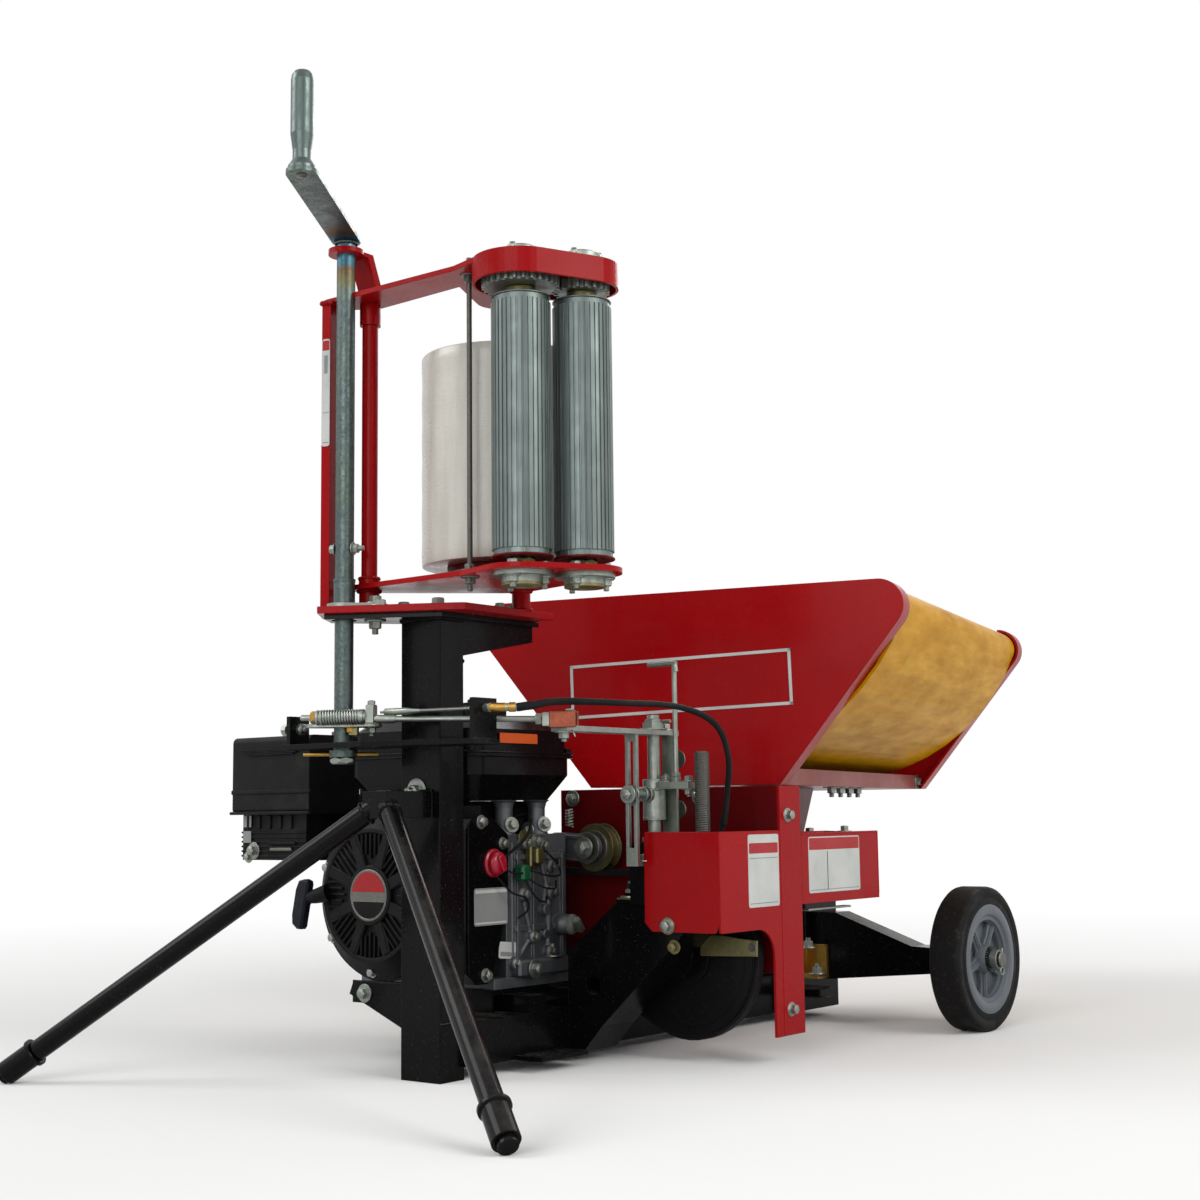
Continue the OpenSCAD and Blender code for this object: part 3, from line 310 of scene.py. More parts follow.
def tube_steel():
    """Galvanised tube with small grey spangles, heat-tinted round the crank's weld."""
    s = Shade("galvanised_tube", Metallic=0.85)
    s.soften(0.0008)
    cell = s.spangle(330)
    tone = s.mix(cell, rgb("#5b6764"), rgb("#414c4e"))
    tone = s.over(tone, s.cloud(800, 2, 0.6, 0.72, 0.4), "#8e9895")
    tone = s.over(tone, s.cloud(14, 4, 0.45, 0.8, 0.3), "#5d674c")
    far = s.node("VectorMath", {0: s.place, 1: CRANK_WELD}, operation="DISTANCE").outputs["Value"]
    near = s.math("ADD", far, s.between(s.noise(40, 3), 0, 1, -0.006, 0.006))
    heat = s.node("ValToRGB", {0: s.between(near, 0.008, 0.075)})
    stops = ((0, "#5f8c9a"), (0.25, "#2f6478"), (0.42, "#5e452c"), (0.6, "#66613f"), (0.8, "#5c6862"))
    ramp = heat.color_ramp
    while len(ramp.elements) < len(stops):
        ramp.elements.new(0.5)
    for e, (at, c) in zip(ramp.elements, stops):
        e.position, e.color = at, rgb(c)
    tone = s.mix(s.between(near, 0.05, 0.078, 0.8, 0), tone, heat.outputs[0])
    s.bump(s.noise(700, 3), 0.22, 0.0003)
    return s.finish(tone, s.math("ADD", s.uneven(50, 0.24, 0.42), s.times(cell, 0.12)))


def film_skin():
    """Wound stretch film: milky, glossy, with faint stretch lines round the roll; its grey tone is partly
    painted shade.
    """
    s = Shade("stretch_film", IOR=1.48, Subsurface_Weight=0.25, Subsurface_Radius=(0.02, 0.02, 0.018),
        Coat_Weight=0.25, Coat_Roughness=0.16)
    lines = s.noise(55, 4, 0.6, s.stretch((1.2, 1.2, 16)))
    wave = s.noise(26, 3, 0.5, s.stretch((3, 3, 0.35)))
    # Milky white drawn grey: partly the film's own tone, partly painted shade
    tone = s.mix(s.between(wave, 0.35, 0.7), rgb("#c3c0b8"), rgb("#b5b2a8"))
    tone = s.over(tone, s.between(lines, 0.5, 0.7, 0, 0.35), "#a9a69a")
    s.bump(lines, 0.22, 0.0008)
    s.bump(wave, 0.2, 0.002)
    return s.finish(tone, s.between(lines, 0.3, 0.7, 0.22, 0.42))


def belt_skin():
    """Yellow coated belt: woven base, soft folds along its width, painted highlight streaks and dark smears.
    """
    s = Shade("yellow_belt", IOR=1.1)
    turned = s.node("Mapping", {0: s.place, "Rotation": (0, 0, radians(-13.5))}).outputs[0]
    across = s.node("Mapping", {0: turned, "Scale": (5, 1.1, 5)}).outputs[0]
    folds = s.noise(9, 4, 0.6, across)
    weave = s.times(*(s.node("TexWave", {"Vector": turned, "Scale": 330},
        bands_direction=d).outputs["Fac"] for d in "XY"))
    tone = s.mix(s.between(folds, 0.3, 0.7), rgb("#d39a00"), rgb("#b07a00"))
    # Pale streaks: painted highlights on the glossy belt
    tone = s.over(tone, s.cloud(16, 5, 0.58, 0.66, 0.35, 0.65), "#d0a414")
    tone = s.over(tone, s.cloud(8, 5, 0.6, 0.78, 0.3, 0.7), "#7d4a04")
    s.bump(weave, 0.12, 0.0004)
    s.bump(folds, 0.25, 0.004)
    return s.finish(tone, s.between(folds, 0.3, 0.7, 0.3, 0.42))


def roller_skin():
    """Ribbed aluminium rollers, brushed along their length."""
    s = Shade("roller_alloy", Metallic=0.8)
    s.soften(0.0005)
    along = s.noise(260, 4, 0.6, s.stretch((1, 1, 0.04)))
    tone = s.mix(along, rgb("#737d7b"), rgb("#545e5c"))
    tone = s.over(tone, s.cloud(18, 4, 0.5, 0.8, 0.3), "#8f9996")
    s.bump(along, 0.2, 0.0003)
    return s.finish(tone, s.uneven(30, 0.28, 0.48))


def printed(name, base, mark):
    """A blank sticker or plate: a clouded ground with a few scuffs."""
    s = Shade(name, Coat_Weight=0.1, Coat_Roughness=0.2, Specular_IOR_Level=0.25)
    cloud = s.noise(20, 4)
    tone = s.mix(cloud, rgb(base), s.mix(cloud, rgb(base), rgb(mark)))
    tone = s.over(tone, s.cloud(300, 4, 0.62, 0.72, 0.35, 0.7), "#77756f")
    s.bump(s.noise(90, 2), 0.08, 0.0006)
    return s.finish(tone, s.uneven(30, 0.3, 0.5))


def worn_tyre():
    """Solid rubber with scuffed, dusty tread."""
    s = Shade("tyre_rubber", Specular_IOR_Level=0.12)
    s.soften(0.001)
    tone = s.mix(s.noise(30, 5, 0.7), rgb("#0f0f10"), rgb("#1b1a1a"))
    dust = s.cloud(190, 5, 0.56, 0.74, rough=0.75)
    tone = s.over(tone, s.times(dust, 0.22), "#77705f")
    s.bump(s.noise(420, 4, 0.7), 0.4, 0.0007)
    return s.finish(tone, s.uneven(40, 0.5, 0.78))


# Materials by short name
MAT = {
    "black": paint("black_paint", "#070709", "#0c0c0e", dusty=0.12, rough=(0.16, 0.34), bare="#5a5855",
        worn=0.25, gloss=0.08),
    "satin": paint("black_satin", "#0b0b0d", "#131315", dusty=0.12, rough=(0.3, 0.48), bare="#4a4947",
        worn=0.2, ior=0.1),
    "red": paint("red_paint", "#a4090f", "#88070c", dusty=0.07, rough=(0.2, 0.38), bare="#6d2022", worn=0.45),
    # The red paint darkened into a shaded copy: painted shade, the paint itself is the same red
    "red_in_painted_shade": paint("dark_red_paint", "#6a070c", "#4b0509", dusty=0.07, rough=(0.26, 0.44), bare="#4d1a1a",
        worn=0.4),
    # Pale red: partly dust, partly a painted reflection of the sky on the red paint
    "red_dust_and_painted_glare": paint("red_paint_dust_and_painted_glare", "#94504a", "#763a35", dust="#a89c92", dusty=0.5, rough=(0.28, 0.5),
        bare="#a9a5a0", worn=0.6),
    "zinc": plated("bright_zinc", "#989e98", "#747a74", "#75785f"),
    "tube": tube_steel(),
    "polished": plated("polished_zinc", "#5b6664", "#424d4b", "#46534e", rough=(0.2, 0.4), grain=420,
        spangle=0.4, streak=(1, 1, 0.2)),
    "steel": plated("steel", "#74736e", "#565551", "#5b5345", grain=500, rough=(0.3, 0.5)),
    "dark_steel": plated("dark_steel", "#5d5b56", "#3f3e3b", "#4d4435", grain=500, rough=(0.34, 0.56),
        metal=0.8),
    "brass": plated("yellow_zinc", "#b99042", "#8d6a2a", "#9c8c58", grain=260, rough=(0.24, 0.42)),
    "olive": plated("olive_zinc", "#7c7650", "#5a5638", "#9a915c", grain=260, rough=(0.28, 0.46)),
    "copper": plated("copper_zinc", "#8f4b39", "#6d3427", "#9a7a50", grain=260, rough=(0.28, 0.46)),
    "burnt": plated("burnt_steel", "#6b645d", "#4b4540", "#4c3325", grain=80, rough=(0.42, 0.66), stain=0.8,
        metal=0.7),
    "cast": cast("cast_alloy", "#707376", "#54575b"),
    "roller": roller_skin(),
    "plastic": moulded("black_plastic", "#0b0b0d", "#131315"),
    "navy": moulded("navy_plastic", "#11141c", "#1a1e27", rough=(0.34, 0.5)),
    "hub": moulded("grey_plastic", "#666c72", "#53595f", rough=(0.36, 0.55), ior=0.3),
    "pale_plastic": moulded("pale_plastic", "#7e7f77", "#6a6b64", rough=(0.36, 0.55), ior=0.5),
    "rubber": moulded("rubber", "#0e0e0f", "#191919", rough=(0.5, 0.7), grain=900),
    "red_plastic": moulded("red_plastic", "#b5102c", "#930a22", rough=(0.16, 0.3), relief=0.08, dusty=0.1,
        ior=0.5),
    "green_plastic": moulded("green_plastic", "#0c5a34", "#084024", rough=(0.2, 0.36), relief=0.08, dusty=0.1,
        ior=0.5),
    "white": printed("white_sticker", "#cbcdc9", "#8f9492"),
    "red_sticker": printed("red_sticker", "#a8121a", "#8a0d14"),
    "orange": printed("orange_sticker", "#c9531a", "#a8430f"),
    "grey_sticker": printed("grey_sticker", "#8d8f8e", "#6e706f"),
    "tyre": worn_tyre(),
    "film": film_skin(),
    "belt": belt_skin(),
    "card": moulded("card", "#a88a5e", "#8b6e46", rough=(0.7, 0.9), grain=700, relief=0.3, ior=0.2),
}

# The CAD nodes that wear each material
DRESS = {
    "black": "base_frame post stand_legs foot_left foot_right axle_beam control_bracket counter_gearbox "
             "blower_housing fuel_tank",
    "dark_steel": "tie_rod",
    "tyre": "tyre_left tyre_right",
    "hub": "rim_left rim_right",
    "red": "platform carrier_column lower_arm upper_arm counter_guard side_guard side_plates",
    # These parts wear the shaded copy of the red paint, a painted shade
    "red_in_painted_shade": "belt_guard film_spindle turntable_hub",
    # The cross tray's pale red is partly painted glare
    "red_dust_and_painted_glare": "cross_tray",
    "zinc": "bearings lever_plate control_rod counter_stand counter_follower gear_slow gear_fast",
    "roller": "roller_slow roller_fast",
    "tube": "control_shaft",
    "polished": "crank_grip",
    "rubber": "control_cable drive_belt",
    "brass": "bearing_bracket",
    "cast": "engine_block idler_arm",
    "plastic": "air_cleaner recoil_starter",
    "burnt": "muffler",
    "red_plastic": "ignition_switch",
    "satin": "drive_pulleys",
    "olive": "idler_pulley",
    "belt": "table_belt",
    "steel": "belt_rollers counter_screw",
    "film": "film_roll",
}
for key, names in DRESS.items():
    for name in names.split():
        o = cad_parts[name]
        for s in o.material_slots:
            s.material = MAT[key]
        if not o.material_slots:
            o.data.materials.append(MAT[key])


# Mesh kit, in millimetres
CHAMFER = 0.4
SHARP = 36  # degrees between two faces from which their edge stays sharp


def lift(z):
    return Matrix.Translation((0, 0, z))


def shift(x, y, z):
    return Matrix.Translation((x, y, z))


def spin(a):
    return Matrix.Rotation(a, 4, "Z")


def polar(r, a, z=0):
    """The point at radius r and a degrees from X, at height z."""
    return Vector((r * cos(radians(a)), r * sin(radians(a)), z))


def hoop(m, r, n):
    """A closed circle of n steps in the frame's XY plane."""
    return [m @ Vector((r * cos(2 * pi * k / n), r * sin(2 * pi * k / n), 0)) for k in range(n + 1)]


def along(origin, z, x=None):
    """A frame at origin whose Z axis points along z."""
    z = Vector(z).normalized()
    x = Vector(x if x is not None else ((1, 0, 0) if abs(z.x) < 0.9 else (0, 1, 0)))
    x = (x - z * x.dot(z)).normalized()
    return Matrix.Translation(Vector(origin)) @ Matrix((x, z.cross(x), z)).transposed().to_4x4()


def inset(poly, c):
    """The polygon (anticlockwise) moved inwards by c."""
    out = []
    for i, p in enumerate(poly):
        a, b = Vector(poly[i - 1]), Vector(poly[(i + 1) % len(poly)])
        p = Vector(p)
        e, f = (p - a).normalized(), (b - p).normalized()
        n, m = Vector((-e.y, e.x)), Vector((-f.y, f.x))
        out.append(tuple(p + (n + m) * (c / max(0.3, 1 + n.dot(m)))))
    return out


def circle(r, n, z=0):
    return [Vector((r * cos(2 * pi * i / n), r * sin(2 * pi * i / n), z)) for i in range(n)]


def smooth_path(points, steps=6):
    """Catmull-Rom curve through the points."""
    p = [Vector(v) for v in points]
    p = [p[0] * 2 - p[1], *p, p[-1] * 2 - p[-2]]
    out = []
    for a, b, c, d in zip(p, p[1:], p[2:], p[3:]):
        for k in range(steps):
            t = k / steps
            out.append(0.5 * (2 * b + (c - a) * t + (2 * a - 5 * b + 4 * c - d) * t * t
                              + (3 * b - a - 3 * c + d) * t ** 3))
    return [*out, p[-2]]


class Piece:
    """Collects solids in millimetres into one mesh that rides on a body."""

    def __init__(self, name, *mats, body="frame", slot="zinc_plate"):
        self.name, self.body, self.slot = name, body, slot
        self.mats = list(mats)
        self.bm = bmesh.new()

    def _at(self, mat):
        key = mat or self.mats[0]
        if key not in self.mats:
            self.mats.append(key)
        return self.mats.index(key)

    def loft(self, rings, mat=None, m=None, closed=False):
        k = self._at(mat)
        m = m or Matrix.Identity(4)
        rows = [[self.bm.verts.new((m @ Vector(p)) * MM) for p in ring] for ring in rings]
        n = len(rows[0])
        for a, b in zip(rows, rows[1:] + (rows[:1] if closed else [])):
            for i in range(n):
                j = (i + 1) % n
                self.bm.faces.new((a[i], a[j], b[j], b[i])).material_index = k
        if not closed:
            self.bm.faces.new(rows[0][::-1]).material_index = k
            self.bm.faces.new(rows[-1]).material_index = k
        return self

    def lathe(self, m, profile, n=24, mat=None, closed=False):
        """profile is (radius, z) pairs from one end to the other; closed joins the last to the first."""
        return self.loft([circle(max(r, 0.01), n, z) for r, z in profile], mat, m, closed=closed)

    def cyl(self, a, b, r, n=18, mat=None):
        a, b = Vector(a), Vector(b)
        h = (b - a).length
        c = min(CHAMFER, h / 3, r / 3)
        return self.lathe(along(a, b - a), [(r - c, 0), (r, c), (r, h - c), (r - c, h)], n, mat)

    def ring(self, m, r0, r1, h, n=28, mat=None):
        c = CHAMFER
        profile = [(r0, c), (r0 + c, 0), (r1 - c, 0), (r1, c), (r1, h - c), (r1 - c, h), (r0 + c, h),
            (r0, h - c)]
        return self.lathe(m, profile, n, mat, True)

    def prism(self, m, poly, h, c=0.5, mat=None):
        """poly in the frame's XY plane, anticlockwise, raised by h, with its edges broken by c."""
        small = inset(poly, c)
        steps = (small, 0), (poly, c), (poly, h - c), (small, h)
        rings = [[Vector((x, y, z)) for x, y in p] for p, z in steps]
        return self.loft(rings, mat, m)

    def box(self, lo, hi, c=0.6, m=None, mat=None):
        (x0, y0, z0), (x1, y1, z1) = lo, hi
        base = (m or Matrix.Identity(4)) @ lift(z0)
        c = min(c, (x1 - x0) / 3, (y1 - y0) / 3, (z1 - z0) / 3)
        poly = [(x0 + c, y0), (x1 - c, y0), (x1, y0 + c), (x1, y1 - c), (x1 - c, y1), (x0 + c, y1),
            (x0, y1 - c), (x0, y0 + c)]
        return self.prism(base, poly, z1 - z0, c, mat)

    def tube(self, points, r, n=10, mat=None):
        """A round bar swept along points; r may be a function of the share of the way."""
        p = [Vector(v) for v in points]
        rings, x = [], None
        for i, q in enumerate(p):
            t = (p[min(i + 1, len(p) - 1)] - p[max(i - 1, 0)]).normalized()
            x = along((0, 0, 0), t).col[0].to_3d() if x is None else (x - t * x.dot(t)).normalized()
            y = t.cross(x)
            w = r(i / (len(p) - 1)) if callable(r) else r
            rings.append([q + w * (cos(2 * pi * k / n) * x + sin(2 * pi * k / n) * y) for k in range(n)])
        return self.loft(rings, mat)

    def weld(self, points, r, mat=None, wave=0.22, pitch=2.6):
        """A scalloped weld bead."""
        p = [Vector(v) for v in points]
        length = sum((b - a).length for a, b in zip(p, p[1:]))
        n = max(4, int(length / (pitch * 0.5)))
        fine, walk = [], 0
        for k in range(n + 1):
            want, walk = length * k / n, 0
            for a, b in zip(p, p[1:]):
                step = (b - a).length
                if walk + step >= want - 1e-6:
                    fine.append(a.lerp(b, min(1, (want - walk) / step)))
                    break
                walk += step
        return self.tube(fine, lambda s: r * (1 + wave * (1 if round(s * n) % 2 else -0.4)), 7, mat)

    def helix(self, m, r, z0, z1, turns, wire, n=7, per=14, mat=None):
        pts = []
        count = int(turns * per)
        for i in range(count + 1):
            a = 2 * pi * i / per
            pts.append(m @ Vector((r * cos(a), r * sin(a), z0 + (z1 - z0) * i / count)))
        return self.tube(pts, wire, n, mat)

    def thread(self, m, r, h, pitch, depth, n=20, c=0.8, mat=None):
        """A screw thread: the rows of a zigzag profile are shifted round the axis."""
        rows = int(2 * h / pitch)
        rings = [circle(r - depth - c, n)]
        for i in range(-1, rows + 2):
            ring = []
            for k, p in enumerate(circle(1, n)):
                z = min(max((i + 2 * k / n) * pitch / 2, c), h - c)
                q = r - (depth if i % 2 else 0)
                ring.append(Vector((p.x * q, p.y * q, z)))
            rings.append(ring)
        rings.append(circle(r - depth - c, n, h))
        return self.loft(rings, mat, m)

    def hexagon(self, m, across, h, mat=None, both=False):
        """A hexagon head or nut with chamfered corners."""
        r = across / 2

        def outline(z_corner, z_flat):
            pts = []
            for k in range(12):
                corner = k % 2 == 0
                q = r / cos(pi / 6) if corner else r
                pts.append(Vector((q * cos(pi * k / 6), q * sin(pi * k / 6), z_corner if corner else z_flat)))
            return pts
        drop = across * 0.09
        low = [circle(r * 0.95, 12), outline(drop, 0.15)] if both else [outline(0, 0)]
        return self.loft([*low, outline(h - drop, h - 0.15), circle(r * 0.93, 12, h)], mat, m)

    def bolt(self, at, z, across=11, washer=1.4, wide=1, stub=0, head=None, mat="zinc"):
        """A washer, a hexagon and, with a stub, the bolt's thread that stands out of a nut."""
        m = along(at, z)
        h = head or across * 0.62
        if washer:
            r0, r1 = across * 0.5, across * wide
            self.lathe(m, [(r0, 0), (r1 * 0.98, 0), (r1, 0.3), (r1 - 0.4, washer), (r0, washer)], 20, mat)
        up = m @ lift(washer)
        self.hexagon(up, across, h, mat)
        if stub:
            self.thread(up @ lift(h - 0.5), across * 0.31, stub, across * 0.12, across * 0.05, 12, 0.4, mat)
        else:
            self.lathe(up @ lift(h - 0.1), [(across * 0.3, 0), (across * 0.27, 0.35), (across * 0.2, 0.4)],
                12, mat)
        return self

    def done(self, *stands_for):
        bmesh.ops.remove_doubles(self.bm, verts=self.bm.verts, dist=1e-6)
        bmesh.ops.recalc_face_normals(self.bm, faces=self.bm.faces)
        mesh = bpy.data.meshes.new(self.name)
        self.bm.to_mesh(mesh)
        self.bm.free()
        mesh.polygons.foreach_set("use_smooth", [True] * len(mesh.polygons))
        mesh.set_sharp_from_angle(angle=radians(SHARP))
        for key in self.mats:
            mesh.materials.append(MAT[key])
        o = add(self.name, mesh)
        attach(o, self.body)
        if stands_for:
            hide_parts(*stands_for)
        return o


# Places that part.scad uses
TUBE = Vector((-75, -69, 0))
CARRIER = Matrix.Translation(TUBE) @ spin(radians(14.5))
LEVER = Matrix.Translation(TUBE) @ spin(radians(30))
TABLE = shift(0, 741, 0) @ spin(radians(13.5))
HALF_DV = sqrt(36 ** 2 - 26.5 ** 2)
SLOW, FAST, FILM = (242, -HALF_DV), (295, HALF_DV), (160, 92)
CRANK = Vector((-134, 0, 202))
X, Y, Z = Vector((1, 0, 0)), Vector((0, 1, 0)), Vector((0, 0, 1))


def uv(u, v, z):
    return CARRIER @ Vector((u, v, z))


def sticker(name, m, w, h, mats, bands=(), r=3):
    """A thin plate with rounded corners in the frame's XY plane; bands are (x0, y0, x1, y1, material)."""
    p = Piece(name, mats, slot=None)

    def rounded(x0, y0, x1, y1, r):
        pts = []
        corners = (x1 - r, y0 + r, -90), (x1 - r, y1 - r, 0), (x0 + r, y1 - r, 90), (x0 + r, y0 + r, 180)
        for cx, cy, a in corners:
            pts += [(Vector((cx, cy, 0)) + polar(r, a + k * 30)).to_2d() for k in range(4)]
        return pts
    p.prism(m, rounded(0, 0, w, h, r), 0.5, 0.12)
    for x0, y0, x1, y1, mat in bands:
        p.prism(m @ lift(0.35), rounded(x0, y0, x1, y1, min(1, (y1 - y0) / 3)), 0.3, 0.08, mat)
    return p.done()


# Handle, lever and control linkage
p = Piece("crank_fittings", "zinc", body="handle")
p.weld(hoop(shift(*TUBE) @ lift(973.6), 12.2, 24), 2, "polished")
grip = TUBE + polar(224, -56)
p.lathe(along(grip + Z * 975, -Z), [(6, 0), (6, 0.8), (4.5, 2), (1.5, 2.6)], 16, "steel")
d = polar(1, 20)
for s, stub in ((-1, 0), (1, 7)):
    p.bolt(TUBE + d * s * 10.6 + Z * 606, d * s, 10, washer=1.2, wide=0.8, stub=stub)
p.ring(Matrix.Translation(TUBE + Z * 566.5), 11, 12.9, 4, 32, "tube")
p.done()

p = Piece("lever_fittings", "zinc", body="handle")
axis = LEVER @ shift(0, -19, 409) @ Matrix.Rotation(pi / 2, 4, "Y")
p.helix(axis, 8, -22, 26, 15, 1.25)
p.ring(axis @ lift(-26), 4, 8.8, 3, 20)
p.hexagon(axis @ lift(-33), 13, 7.5, "brass", both=True)
p.lathe(axis @ lift(-45), [(2.6, 0), (3.6, 1.2), (3.6, 13)], 14)
p.ring(axis @ lift(26), 4, 9, 4, 20)
p.bolt(LEVER @ Vector((36.5, -13, 422)), Z, 8, washer=0.8, wide=0.8)
p.bolt(LEVER @ Vector((34, -4, 398)), -Z, 10, washer=1, stub=4)
p.bolt(LEVER @ Vector((14, -17, 398)), -Z, 9, washer=1, stub=3, mat="brass")
p.box((12, -21, 388), (22, -12, 397), m=LEVER, mat="olive")
p.weld(hoop(shift(*TUBE) @ lift(403), 12, 20), 1.6)
p.hexagon(Matrix.Translation(TUBE + Z * 356.5), 27, 7.5, both=True)
d = polar(1, 37.8)
p.cyl(TUBE + d * -46 + Z * 367.5, TUBE + d * 41 + Z * 367.5, 2.1, 10, "brass")
p.done()

p = Piece("stop_screw", "zinc")
at = Vector((-158, -77, 398))
p.bolt(at, -X, 13, washer=0, head=8)
p.thread(along(at + X * 18.5, X), 4.2, 12, 1.4, 0.5, 14)
p.hexagon(along(at + X * 5.6, X), 13, 6.4, both=True)
p.hexagon(along(at + X * 18.2, X), 13, 6, both=True)
p.done()

p = Piece("rod_fittings", "zinc")
a, b = Vector((-26, -67, 406)), Vector((150, 27, 402))
d = (b - a).normalized()
p.lathe(along(a + d * 2, d), [(4.6, 0), (4.9, 1), (4.9, 20), (3.6, 24)], 16)
p.hexagon(along(b - d * 13, d), 12, 8, both=True)
p.lathe(along(b - d * 5, d), [(6.5, 0), (7.6, 1), (7.6, 9), (6.5, 10)], 20, "copper")
side = Vector((-d.y, d.x, 0)).normalized()
clevis = along(b, Z, d)
for s in (-1, 1):
    p.box((4, s * 8.6 - 2.2, -10.4), (34, s * 8.6 + 2.2, 8.4), 1, clevis, "copper")
p.cyl(b + d * 26 - Z * 12, b + d * 26 + Z * 10, 3, 14, "dark_steel")
p.lathe(along(b + d * 26 + Z * 9, Z), [(5, 0), (5, 1.6), (3, 2.4)], 16)
pin = ((26, -11, 6), (26, -11, 0), (30, -14, -5), (33, -20, -7))
p.tube(smooth_path([b + d * i + Z * j + side * k for i, j, k in pin], 4), 0.9, 6)
start, end = Vector((-26, -58, 414)), Vector((105, -33, 414))
d = (end - start).normalized()
p.lathe(along(start + d * 6, d), [(3.6, 0), (4.2, 1), (4.2, 30), (3, 38), (2.2, 46), (2.2, 48)], 14)
p.helix(along(start + d * 54, d), 2, 0, 70, 20, 0.5, 5, 8, "steel")
ear = Vector((111, -33, 414))
p.hexagon(along(ear - X * 13, X), 14, 6.5, "brass", both=True)
d = polar(1, 30)
p.lathe(along(ear - X * 1, X), [(4.6, 0), (4.6, 6), (4, 7)], 16, "brass")
p.lathe(along(ear + Vector((4, 0, 0)), d),
    [(4.4, 0), (5, 1), (5, 20), (4.2, 21), (4.2, 23), (5.4, 24), (5.4, 31), (4, 32), (4, 36)], 18, "brass")
p.done()

CABLE = [(146.2, -15, 414), (178.2, 11, 420), (214, 82, 419), (243, 150, 416), (258, 200, 398),
    (257, 228, 362), (246, 241, 318), (236, 243, 262)]
p = Piece("cable_ribs", "rubber", slot="belt_rubber")
line = smooth_path(CABLE, 24)
p.tube(line[:-8], lambda s: 3.75 if round(s * (len(line) - 9)) % 2 else 3.45)
p.lathe(along(CABLE[0], Vector(CABLE[1]) - Vector(CABLE[0])),
    [(4.4, -4), (4.8, -3), (4.8, 10), (4.2, 14), (3.8, 22)], 16)
p.done()

# Film carrier
DECK = 536.2  # where bolts stand on the platform
FLANGE_BOLTS = 24  # radius of a roller flange's bolt circle
p = Piece("carrier_bolts", "zinc")
for at in (SLOW, FAST):
    base = CARRIER @ shift(*at, 0)
    for a in (30, 150, 270):
        q = base @ polar(FLANGE_BOLTS, a)
        p.bolt(q + Z * 555, -Z, wide=0.85, stub=6)
        p.bolt(q + Z * 566, Z, washer=1.2, wide=0.85, head=5)
        p.bolt(base @ polar(20, a, 917), Z, washer=1, wide=0.8, stub=4)
    p.ring(base @ lift(544.5), 12, 23, 4.5, 32, "olive")
    p.ring(base @ lift(923.6), 10.4, 16, 2.2)
    p.lathe(base @ lift(926.4), [(16.5, 0), (16, 1.2), (9, 2.4), (0.5, 2.8)], 28)
tie = (174, -18)
for z, s in ((560, -1), (566, 1), (906, -1), (912, 1)):
    p.bolt(uv(*tie, z), Z * s, stub=7 if z in (560, 912) else 0, mat="steel")
for u, v in ((48, 0), (60, 34)):
    p.bolt(uv(u, v, DECK), Z, 12, washer=1.6, head=6)
for x, y in ((26, -18), (40, 96), (-58, 44), (0, 110)):
    p.bolt((x, y, DECK), Z, 13, washer=1.6, head=7)
plate = TUBE + polar(36, 39)
p.bolt(plate + Z * 541.2, Z, 13, washer=1.6)
p.bolt(plate + Z * 521.8, -Z, 13, washer=1.6, stub=7)
p.done()

p = Piece("carrier_welds", "red", slot="red_paint")
for z in (536.6, 905.4):
    p.weld([uv(u, v, z) for u, v in ((-35, 1), (-21, 1), (-21, 43), (-35, 43), (-35, 1))], 2.6)
for u, v, z, r in ((12, 36, 536.6, 12.6), (12, 36, 559.4, 12.6), (169, 122, 536.6, 11.6),
        (169, 122, 559.4, 11.6), (12, 36, 574.2, 11)):
    p.weld(hoop(CARRIER @ shift(u, v, z), r, 20), 2.2)
p.weld([CARRIER @ (polar(26, 76, 955) + polar(k, -14)) for k in (-14, 14)], 1.8)
p.done()

for side, at, body in (("slow", SLOW, "stretch_slow"), ("fast", FAST, "stretch_fast")):
    base = CARRIER @ shift(*at, 0)
    # The roller ends wear the shaded copy of the red paint, a painted shade
    p = Piece("roller_ends_" + side, "red_in_painted_shade", body=body, slot="dark_red_paint")
    p.ring(base @ lift(575.4), 14, 34.2, 2.4, 48)
    p.ring(base @ lift(868.2), 14, 33.4, 1.6, 48, "roller")
    p.hexagon(base @ lift(567.8), 27, 7.4, "olive")
    p.ring(base @ lift(870), 10.2, 17, 9.6, 32, "olive")
    for k in range(18):
        p.cyl(base @ polar(30.2, 20 * k, 577.9), base @ polar(30.2, 20 * k, 587), 1.5, 8, "roller")
    p.done()

p = Piece("film_wound", "film", "card", body="film", slot="film_white")
base = CARRIER @ shift(*FILM, 584)
wavy = [(94.6 + 0.35 * sin(k * 1.7) + 0.05 * k % 0.2, 2.5 + 245 * k / 20) for k in range(21)]
top = [(r, 250 - (0.9 if i % 2 else 0.1)) for i, r in enumerate(range(92, 44, -4))]
low = [(r, 0.9 if i % 2 else 0.1) for i, r in enumerate(range(48, 94, 4))]
p.lathe(base, [(94, 0.8), *wavy, (94, 249.2), *top, (42.5, 249.4), (42.5, 0.6), *low], 96, closed=True)
p.ring(base @ lift(0.3), 38.1, 42.4, 249.4, 64, "card")
p.done("film_roll")

m = along(uv(-33.5, 1.8, 731), CARRIER.to_3x3() @ -Y, CARRIER.to_3x3() @ X)
sticker("column_label", m, 11, 130, "white", (
    (0.8, 116, 10.2, 128, "red_sticker"), (3, 88, 8, 110, "grey_sticker"),
    (1.2, 4, 9.8, 5, "grey_sticker"), (1.2, 40, 9.8, 41, "grey_sticker"),
))

# Post, legs and frame
p = Piece("post_fittings", "zinc")
p.bolt((-5, -20.2, 324.5), -Y, 13, washer=1.8, stub=8)
p.lathe(along((-5, -20, 324.5), -Y), [(9, 0), (14.5, 0), (14.5, 1.6), (12, 2.2)])
for x, y in ((52, 60), (-96, 10)):
    p.bolt((x, y, 535.9), Z, 10, washer=1.2)
p.done()

